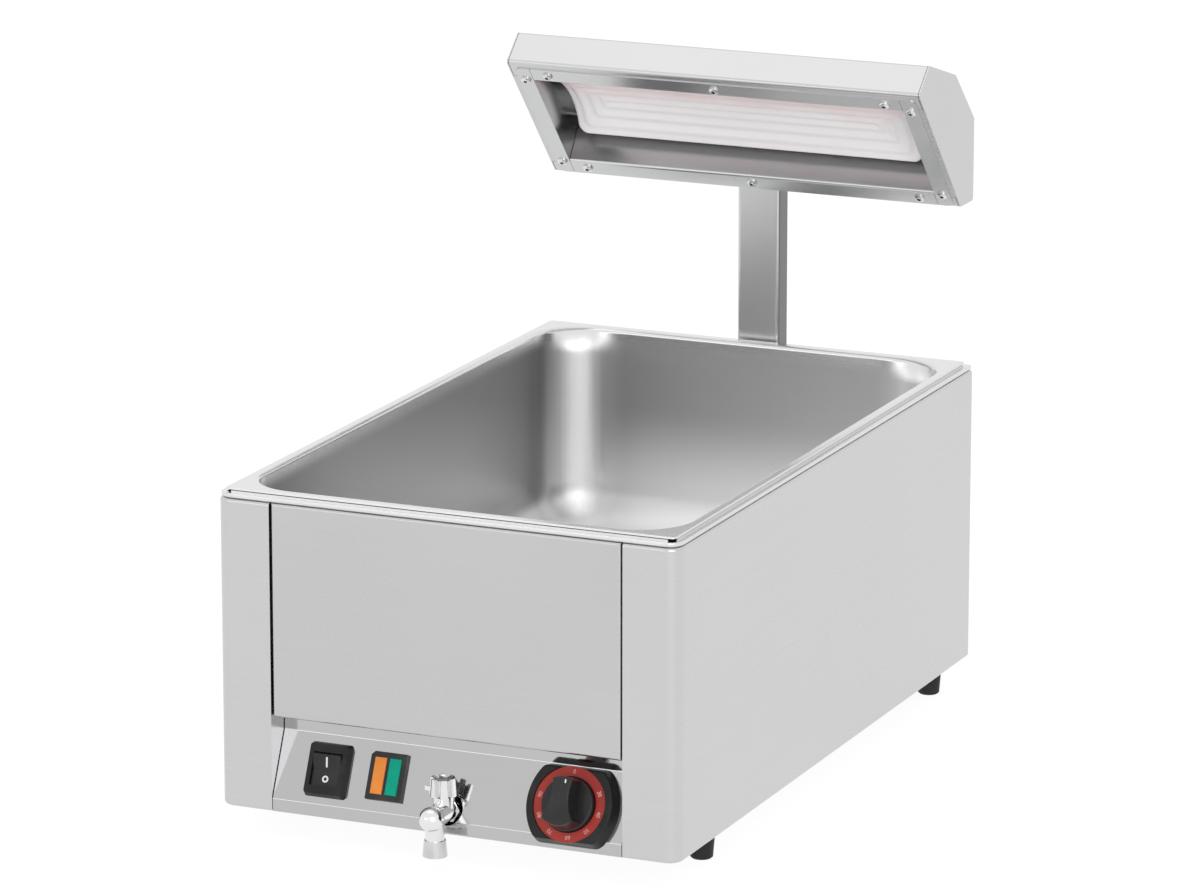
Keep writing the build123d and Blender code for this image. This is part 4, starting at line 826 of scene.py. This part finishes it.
def piece(
    name: str,
    patches: Sequence[Patch],
    look: Look,
    body: str,
    slot: str,
    *stands_for: str,
    crease: float = 32.0,
) -> None:
    """Makes one piece of the object from patches.

    Args:
        name: the piece's name.
        patches: its patches, in the model's frame, which close on each other.
        look: its finish.
        body: the CAD body it rides on.
        slot: the record's material slot; not used.
        stands_for: CAD nodes it is shown in place of.
        crease: edges sharper than this, in degrees, stay sharp.
    """
    starts = np.cumsum([0] + [len(patch.points) for patch in patches])
    points = np.concatenate([patch.points for patch in patches]) * MM
    faces = sum([(patch.faces + start).tolist() for patch, start in zip(patches, starts)], [])
    mesh = bpy.data.meshes.new(name)
    mesh.from_pydata(points.tolist(), [], faces)
    shape = bmesh.new()
    shape.from_mesh(mesh)
    bmesh.ops.remove_doubles(shape, verts=shape.verts, dist=MERGE_REACH)
    bmesh.ops.recalc_face_normals(shape, faces=shape.faces)
    shape.to_mesh(mesh)
    shape.free()
    mesh.shade_smooth()
    mesh.set_sharp_from_angle(angle=math.radians(crease))
    mesh.materials.append(look.material())
    made = linked(name, mesh)
    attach(made, body)
    if stands_for:
        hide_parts(*stands_for)
    log.info("piece %s: %d faces, rides on %s", name, len(mesh.polygons), body)


def fasten(
    name: str, head: Patch, spots: Sequence[Triple], seat: Seat, look: Look, *stands_for: str
) -> None:
    """Makes a set of like fasteners as one piece."""
    heads = head.copies(np.array(spots)).on(seat)
    piece(name, [heads], look, "base", "plain_steel", *stands_for)


FINISHES = {
    Look.FRONT_SHEET: ("front_panel", "rear_panel"),
    Look.SIDE_SHEET: ("left_side_panel", "right_side_panel"),
    Look.HOOD_SHEET: ("hood_shell",),
    Look.HOOD_END_SHEET: ("hood_end_left", "hood_end_right"),
    Look.POST_SHEET: ("post",),
    Look.CONTROL_SHEET: ("control_panel",),
    Look.BASIN_SHEET: ("basin",),
    Look.REFLECTOR_SHEET: ("reflector", "reflector_end_left", "reflector_end_right"),
    Look.BASE_SHEET: ("base_plate",),
    Look.ZINC: (
        "foot_screws",
        "post_nuts",
        "heater_straps",
        "element_clip",
        "safety_cutout",
        "thermostat_shaft",
        "thermostat_body",
    ),
    Look.CHROME: ("tap_body", "tap_handle"),
    Look.TURNED_NOZZLE: ("tap_nozzle",),
    Look.TURNED_BRASS: ("drain_pipe", "tap_plug", "tap_nut", "thermostat_bulb"),
    Look.HEATER_SHEATH: ("basin_heater",),
    Look.BARE_CERAMIC: ("element_terminal", "terminal_block"),
    Look.SATIN_BLACK: ("switch_housing", "thermostat_bezel", "cable_gland", "gland_nut"),
    Look.GLOSS_BLACK: ("switch_rocker", "thermostat_knob"),
    Look.LAMP_BLACK: ("pilot_housing",),
    Look.RED_RING: ("scale_ring",),
    Look.AMBER_LENS_CLEAR: ("amber_lens",),
    Look.GREEN_LENS_CLEAR: ("green_lens",),
    Look.FOOT_RUBBER_MOULDED: (
        "foot_front_left", "foot_front_right", "foot_rear_left", "foot_rear_right"
    ),
    Look.SEAL_RUBBER_MOULDED: ("rim_seal",),
}


def dress() -> None:
    """Gives the CAD nodes that no piece stands for their finishes."""
    for look, nodes in FINISHES.items():
        for name in nodes:
            for place in frame["nodes"][name].material_slots:
                place.material = look.material()
            log.info("node %s: %s", name, look.name.lower())


@dataclass(frozen=True)
class ButtonHead:
    """A domed screw head with a hexagon socket of a width across its flats."""

    radius: float
    height: float
    socket: float
    dome: Span = (0.52, 0.97)
    dome_rings: int = 6
    dome_fall: float = 0.72
    socket_depth: float = 0.62
    socket_taper: float = 0.98
    socket_cone: float = 0.15
    # The socket's disc of painted shade: its share of the socket's width, and its thickness.
    disc: float = 0.95
    disc_thickness: float = 0.12

    def head(self) -> Patch:
        """The head, standing on its seat.

        The dome's height falls from its crown as the square of the radius; the socket's wall is a
        hexagon that goes down to a shallow cone.

        Returns:
            The head's closed sheet.
        """
        flats = hexagon(self.socket)
        even = 0.0 * flats
        share = np.linspace(*self.dome, self.dome_rings)
        dome = even + self.radius * share[:, None]
        tops = self.height * (1.0 - self.dome_fall * (share**2 - share[0] ** 2))
        floor = self.height * (1.0 - self.socket_depth)
        radii = [even, self.socket_taper * flats, flats, *dome, even + self.radius, even]
        cone = floor - self.socket_cone * self.socket
        return ringed(np.array(radii), [cone, floor, self.height, *tops, 0.0, 0.0])

    def painted_shade_disc(self) -> Patch:
        """Painted shade for the socket: a thin dark hexagonal disc that lies at its bottom.

        Returns:
            The disc, at its height over the head's seat.
        """
        edge = self.disc * hexagon(self.socket)
        low = self.height * (1.0 - self.socket_depth)
        high = low + self.disc_thickness
        return ringed(np.array([0.0 * edge, edge, edge, 0.0 * edge]), [low, low, high, high])


@dataclass(frozen=True)
class HexHead:
    """A hexagon bolt head on a plain washer."""

    flats: float
    height: float
    washer_radius: float
    washer: float
    crown: float = 0.94
    shoulder: float = 0.86

    def head(self) -> Patch:
        """The head and washer, standing on their seat, the head's corners turned off at its top.

        Returns:
            The closed sheet, from a disc to a hexagon and back to the crown's disc.
        """
        side = hexagon(self.flats)
        even = 0.0 * side
        disc, crown = even + self.washer_radius, even + self.crown * self.flats / 2.0
        shoulder = self.washer + self.shoulder * self.height
        top = self.washer + self.height
        heights = [0.0, 0.0, self.washer, self.washer, shoulder, top, top]
        return ringed(np.array([even, disc, disc, side, side, crown, even]), heights)


@dataclass
class Casing:
    """The screws of the folded casing."""

    casing_z: float = 19.0
    base_screw: ButtonHead = ButtonHead(3.6, 1.5, 2.0)
    base_screw_x: float = 145.0
    base_screw_ys: Row = (-150.0, 0.0, 150.0)
    rear_y: float = 267.0
    rear_screw: ButtonHead = ButtonHead(3.4, 1.9, 2.0)
    rear_screw_x: float = 132.0
    rear_screw_zs: Row = (36.0, 124.5, 213.0)

    def build(self) -> None:
        """Button screws under the base plate's edges and down both edges of the rear panel."""
        under = Seat((0.0, 0.0, self.casing_z), (1.0, 0.0, 0.0), (0.0, -1.0, 0.0))
        spots = mirrored(self.base_screw_x, self.base_screw_ys)
        fasten("base_screw_heads", self.base_screw.head(), spots, under, Look.ZINC, "base_screws")
        spots, back = mirrored(self.rear_screw_x, self.rear_screw_zs), behind(self.rear_y)
        fasten("rear_screw_heads", self.rear_screw.head(), spots, back, Look.FASTENER)


@dataclass
class Hood:
    """The heating element in the hood's mouth and the fasteners of the hood and its post."""

    mouth: Seat = HOOD_MOUTH
    flange_face: float = 0.8
    flange_screw: ButtonHead = ButtonHead(3.6, 2.2, 2.5)
    row_xs: Row = (-127.5, 0.0, 127.5)
    row_rises: Row = (8.0, 114.5)
    end_x: float = 145.75
    end_rises: Row = (13.5, 108.5)
    back_y: float = 286.0
    hood_bolt: ButtonHead = ButtonHead(4.6, 2.6, 3.0)
    hood_bolt_x: float = 8.0
    hood_bolt_z: float = 360.5
    post_back_y: float = 285.0
    post_bolt: HexHead = HexHead(10.0, 3.0, 6.4, 1.0)
    post_bolt_zs: Row = (124.0, 184.0)
    element_rise: float = 61.5
    element_half: Span = (132.0, 31.0)
    element_corner: float = 7.0
    element_set: float = 12.0
    element_sag: float = 8.0
    element_thickness: float = 9.0
    element_edge: float = 2.2
    element_crease: float = 60.0
    outline_steps: int = 240
    face_rows: int = 72
    edge_rows: int = 7
    back_rows: int = 12
    loop_pitch: float = 9.0
    loop_height: float = 1.2
    neck_half: Span = (20.0, 7.0)
    neck_corner: float = 2.0
    neck_end: float = 46.8
    neck_steps: int = 40

    def plate(self) -> Patch:
        """The element's plate: a shallow trough with soft nested loops on its face.

        A point's inset is its distance from the plate's outline. Its depth follows the arc of the
        trough; the loops rise on it as one plus the cosine of the inset over the pitch, and the
        edge falls away as a quarter round.

        Returns:
            The closed sheet, from the middle of its face round its edge to the middle behind.
        """
        half_x, half_y = self.element_half
        outline = rounded_plate(half_x, half_y, self.element_corner, self.outline_steps)
        reach = half_x - half_y
        spine = np.stack([np.clip(outline[:, 0], -reach, reach), 0.0 * outline[:, 1]], -1)
        turn = np.linspace(0.0, np.pi / 2.0, self.edge_rows)
        lip = self.element_edge * (1.0 - np.sin(turn))
        fall = self.element_edge * (1.0 - np.cos(turn))
        face = np.linspace(half_y, self.element_edge, self.face_rows)
        rear = np.linspace(self.element_edge, half_y, self.back_rows)[1:]
        loops = 0.5 * self.loop_height * (1.0 + np.cos(2.0 * np.pi * face / self.loop_pitch))
        front = np.where(face < 0.5 * self.loop_pitch, 0.0, loops)
        back = np.concatenate([fall[::-1], 0.0 * rear]) - self.element_thickness
        inset = np.concatenate([face, lip[1:], lip[::-1], rear])
        lift = np.concatenate([front, -fall[1:], back])
        plan = spine + (1.0 - inset / half_y)[:, None, None] * (outline - spine)
        radius = (half_y**2 + self.element_sag**2) / (2.0 * self.element_sag)
        sag = np.sqrt(radius**2 - plan[..., 1] ** 2) - radius + self.element_sag
        depth = lift[:, None] - self.element_set - sag
        plan[..., 1] += self.element_rise
        sheet = np.concatenate([plan, depth[..., None]], -1)
        return grid(np.concatenate([sheet, sheet[:, :1]], 1)).on(self.mouth)

    def neck(self) -> Patch:
        """The element's neck: a rounded slab from inside the plate to its clip.

        Returns:
            The slab.
        """
        outline = rounded_plate(*self.neck_half, self.neck_corner, self.neck_steps)
        root = -self.element_set - self.element_sag - 0.5 * self.element_thickness
        return tablet(outline + [0.0, self.element_rise], -self.neck_end, root).on(self.mouth)

    def element(self) -> None:
        """The ceramic element, shown in place of the plain one."""
        patches, crease = [self.plate(), self.neck()], self.element_crease
        stated = ("base", "element_ceramic", "ceramic_element")
        piece("heating_plate", patches, Look.GLAZE, *stated, crease=crease)

    def flange_screws(self) -> None:
        """Button screws along the reflector's flanges, with a disc of painted shade in each socket.
        """
        rows = [(x, rise, self.flange_face) for rise in self.row_rises for x in self.row_xs]
        spots = rows + mirrored(self.end_x, self.end_rises, self.flange_face)
        head, painted_shade_disc = self.flange_screw.head(), self.flange_screw.painted_shade_disc()
        fasten("flange_screws", head, spots, self.mouth, Look.FASTENER, "reflector_screws")
        # Painted shade: a dark disc at the bottom of each socket.
        fasten("flange_screw_socket_shade", painted_shade_disc, spots, self.mouth, Look.SOCKET)

    def rear_bolts(self) -> None:
        """Button bolts at the hood's back and hexagon bolts at the post's foot."""
        button, back = self.hood_bolt.head(), behind(self.back_y)
        spots = mirrored(self.hood_bolt_x, [self.hood_bolt_z])
        fasten("hood_bolt_heads", button, spots, back, Look.FASTENER, "hood_bolts")
        bolt, back = self.post_bolt.head(), behind(self.post_back_y)
        spots = [(0.0, z, 0.0) for z in self.post_bolt_zs]
        fasten("post_bolt_heads", bolt, spots, back, Look.FASTENER, "post_bolts")

    def build(self) -> None:
        """Makes the element and the fasteners."""
        self.element()
        self.flange_screws()
        self.rear_bolts()


@dataclass
class Controls:
    """The marks on the switch and the thermostat of the sloping panel."""

    panel: Seat = Seat((0.0, -267.0, 28.0), (1.0, 0.0, 0.0), (0.0, 0.40674, 0.91355))
    switch_x: float = -88.5
    switch_rise: float = 23.3
    rocker_pivot: float = 0.5
    rocker_tilt: float = 10.0
    rocker_waist: float = 3.4
    rocker_slope: float = 11.03
    mark_reach: float = 5.6
    mark_thickness: float = 0.06
    mark_sink: float = 0.1
    stroke_half: Span = (0.65, 3.6)
    ring_radii: Span = (1.15, 2.3)
    dial: Span = (88.5, 20.9)
    ring_top: float = 9.0
    figure_radius: float = 21.8
    figure_height: float = 2.7
    figures: tuple[str, ...] = ("0", "30", "40", "50", "60", "70", "80", "90")
    figure_turns: Row = (0.0, 65.0, 101.0, 137.0, 173.0, 209.0, 245.0, 281.0)
    grip_top: float = 27.6
    groove_half: Span = (0.3, 3.6)
    groove_rise: float = 10.6
    dot_radius: float = 0.9
    dot_rise: float = 4.2
    tick_half: Span = (0.5, 1.3)
    tick_x: float = 2.6
    tick_rise: float = 13.0

    def rocker_seat(self, side: int) -> Seat:
        """The face of one half of the rocker as it stands at rest.

        Args:
            side: 1 for the upper half, -1 for the lower half.

        Returns:
            A seat at the middle of that half.
        """
        turn, slope = spun(self.rocker_tilt), math.radians(self.rocker_slope)
        height = self.rocker_waist + self.mark_reach * math.tan(slope)
        rise, out = np.array([side * self.mark_reach, height]) @ turn
        along = np.array([math.cos(slope), side * math.sin(slope)]) @ turn
        spot = np.array([self.switch_x, self.switch_rise + rise, self.rocker_pivot + out])
        up = self.panel.put(np.array([0.0, *along])) - self.panel.origin
        return Seat(tuple(self.panel.put(spot)), self.panel.across, tuple(up))

    def rocker_marks(self) -> None:
        """A stroke on the rocker's upper half and a ring on its lower half."""
        thick = self.mark_thickness
        stroke = tablet(rounded_bar(*self.stroke_half), 0.0, thick).on(self.rocker_seat(1))
        inner, outer = self.ring_radii
        loop = [(inner, 0.0), (outer, 0.0), (outer, thick), (inner, thick), (inner, 0.0)]
        ring = turned(loop).on(self.rocker_seat(-1))
        piece("rocker_marks", [stroke, ring], Look.PALE_PRINT, "rocker", "black_moulding")

    def dial_figures(self) -> None:
        """Figures round the scale ring, each turned to stand outwards from the knob."""
        patches = []
        for text, degrees in zip(self.figures, self.figure_turns):
            figure = lettered(text, self.figure_height, self.mark_thickness)
            flat = (figure.points[:, :2] + [0.0, self.figure_radius]) @ spun(-degrees)
            stood = Patch(np.column_stack([flat, figure.points[:, 2]]), figure.faces)
            patches.append(stood.moved(*self.dial, self.ring_top).on(self.panel))
        piece("dial_figures", patches, Look.WORN_PRINT, "base", "ring_red")

    def knob_marks(self) -> None:
        """A dark groove and a dot along the grip's top, and a pale tick at its tip."""
        low, high = self.grip_top - self.mark_sink, self.grip_top + self.mark_thickness
        radius = self.dot_radius
        groove = tablet(rounded_bar(*self.groove_half), low, high).moved(0.0, self.groove_rise)
        dot = turned([(0.0, low), (radius, low), (radius, high), (0.0, high)])
        tick = tablet(rounded_bar(*self.tick_half), low, high).moved(self.tick_x, self.tick_rise)
        marks = [groove, dot.moved(0.0, self.dot_rise), tick]
        *dark, pale = [mark.moved(*self.dial).on(self.panel) for mark in marks]
        piece("knob_groove", dark, Look.LAMP_BLACK, "knob", "black_moulding")
        piece("knob_tick", [pale], Look.PALE_PRINT, "knob", "black_moulding")

    def build(self) -> None:
        """Makes the marks."""
        self.rocker_marks()
        self.dial_figures()
        self.knob_marks()


@dataclass(frozen=True)
class Softbox:
    """A broad studio lamp aimed at a point."""

    name: str
    place: Triple
    width: float
    height: float
    radiance: float
    aim: Triple = (0.0, 0.0, 200.0)

    def build(self) -> None:
        """Makes the lamp; its power is the radiance times pi times its area."""
        lamp = bpy.data.lights.new(self.name, "AREA")
        lamp.shape = "RECTANGLE"
        lamp.size = self.width * MM
        lamp.size_y = self.height * MM
        lamp.energy = self.radiance * math.pi * lamp.size * lamp.size_y
        made = linked(self.name, lamp)
        made.location = Vector(self.place) * MM
        ray = Vector(self.aim) - Vector(self.place)
        made.rotation_euler = ray.to_track_quat("-Z", "Y").to_euler()


@dataclass
class Studio:
    """A pale floor, soft light and the camera."""

    floor_half: float = 9000.0
    floor_grey: float = 0.86
    floor_white: float = 0.88
    floor_glow: float = 1.06
    daylight: float = 0.96
    target: Triple = (-9.95, 3.68, 215.72)
    azimuth: float = 23.6503
    elevation: float = 14.2824
    distance: float = 4538.4
    lens: float = 200.18
    sensor: float = 36.0
    clip: Span = (0.05, 60.0)
    lamps: tuple[Softbox, ...] = (
        Softbox("overhead_box", (-300.0, 0.0, 2600.0), 2200.0, 2200.0, 0.36),
        Softbox("left_box", (-1250.0, -2800.0, 780.0), 1600.0, 560.0, 1.0),
        Softbox("right_box", (1700.0, -2700.0, 1000.0), 2400.0, 1700.0, 1.5),
    )

    @staticmethod
    def seen(graph: Graph) -> Value:
        """1 on rays that show the background: camera, glossy and transmission rays."""
        path = graph.node("ShaderNodeLightPath")
        return sum(Value(graph, path[ray]) for ray in SEEN_RAYS)

    def floor(self) -> None:
        """A plain sheet under the feet, near white where it is seen, which keeps a soft shadow."""
        half = self.floor_half * MM
        corners = [(-half, -half, 0.0), (half, -half, 0.0), (half, half, 0.0), (-half, half, 0.0)]
        mesh = bpy.data.meshes.new("studio_floor")
        mesh.from_pydata(corners, [], [(0, 1, 2, 3)])
        paint = bpy.data.materials.new("studio_floor")
        graph = Graph(paint)
        grey = (self.floor_grey, self.floor_grey, self.floor_grey, 1.0)
        diffuse = graph.node("ShaderNodeBsdfDiffuse", {"Color": grey})[0]
        glow = {"Color": (*WHITE, 1.0), "Strength": self.floor_glow}
        white = graph.node("ShaderNodeEmission", glow)[0]
        layers = {0: self.seen(graph) * self.floor_white, 1: diffuse, 2: white}
        mixed = graph.node("ShaderNodeMixShader", layers)[0]
        graph.node("ShaderNodeOutputMaterial", {"Surface": mixed})
        mesh.materials.append(paint)
        linked("studio_floor", mesh)

    def surroundings(self) -> None:
        """A white world, dimmer as light than as background."""
        world = bpy.data.worlds.new("studio_world")
        graph = Graph(world)
        strength = self.daylight + self.seen(graph) * (1.0 - self.daylight)
        shader = graph.node("ShaderNodeBackground", {"Color": (*WHITE, 1.0), "Strength": strength})
        graph.node("ShaderNodeOutputWorld", {"Surface": shader[0]})
        bpy.context.scene.world = world

    def camera(self) -> None:
        """The camera, on a ray from the target at the azimuth and elevation."""
        turn, rise = math.radians(self.azimuth), math.radians(self.elevation)
        flat = math.cos(rise)
        back = Vector((math.sin(turn) * flat, -math.cos(turn) * flat, math.sin(rise)))
        view = bpy.data.cameras.new("camera")
        view.sensor_fit = "HORIZONTAL"
        view.sensor_width = self.sensor
        view.lens = self.lens
        view.clip_start, view.clip_end = self.clip
        made = linked("camera", view)
        made.location = (Vector(self.target) + back * self.distance) * MM
        made.rotation_mode = "QUATERNION"
        made.rotation_quaternion = (-back).to_track_quat("-Z", "Y")
        bpy.context.scene.camera = made

    def build(self) -> None:
        """Sets up the floor, world, lamps and camera."""
        self.floor()
        self.surroundings()
        for lamp in self.lamps:
            lamp.build()
        self.camera()
        bpy.context.scene.view_settings.view_transform = "Standard"


def clear_startup() -> None:
    """Removes the objects that a new file starts with, which belong to no CAD body."""
    kept = {*frame["nodes"].values(), *frame["bodies"].values()}
    for thing in list(bpy.context.scene.objects):
        if thing not in kept:
            bpy.data.objects.remove(thing)


def main() -> None:
    """Adds the pieces, gives the CAD nodes their finishes and sets up the studio."""
    logging.basicConfig(level=logging.INFO, format="%(name)s: %(message)s")
    clear_startup()
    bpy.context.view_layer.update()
    for group in (Casing(), Hood(), Controls()):
        group.build()
    dress()
    Studio().build()


if __name__ == "__main__":
    main()
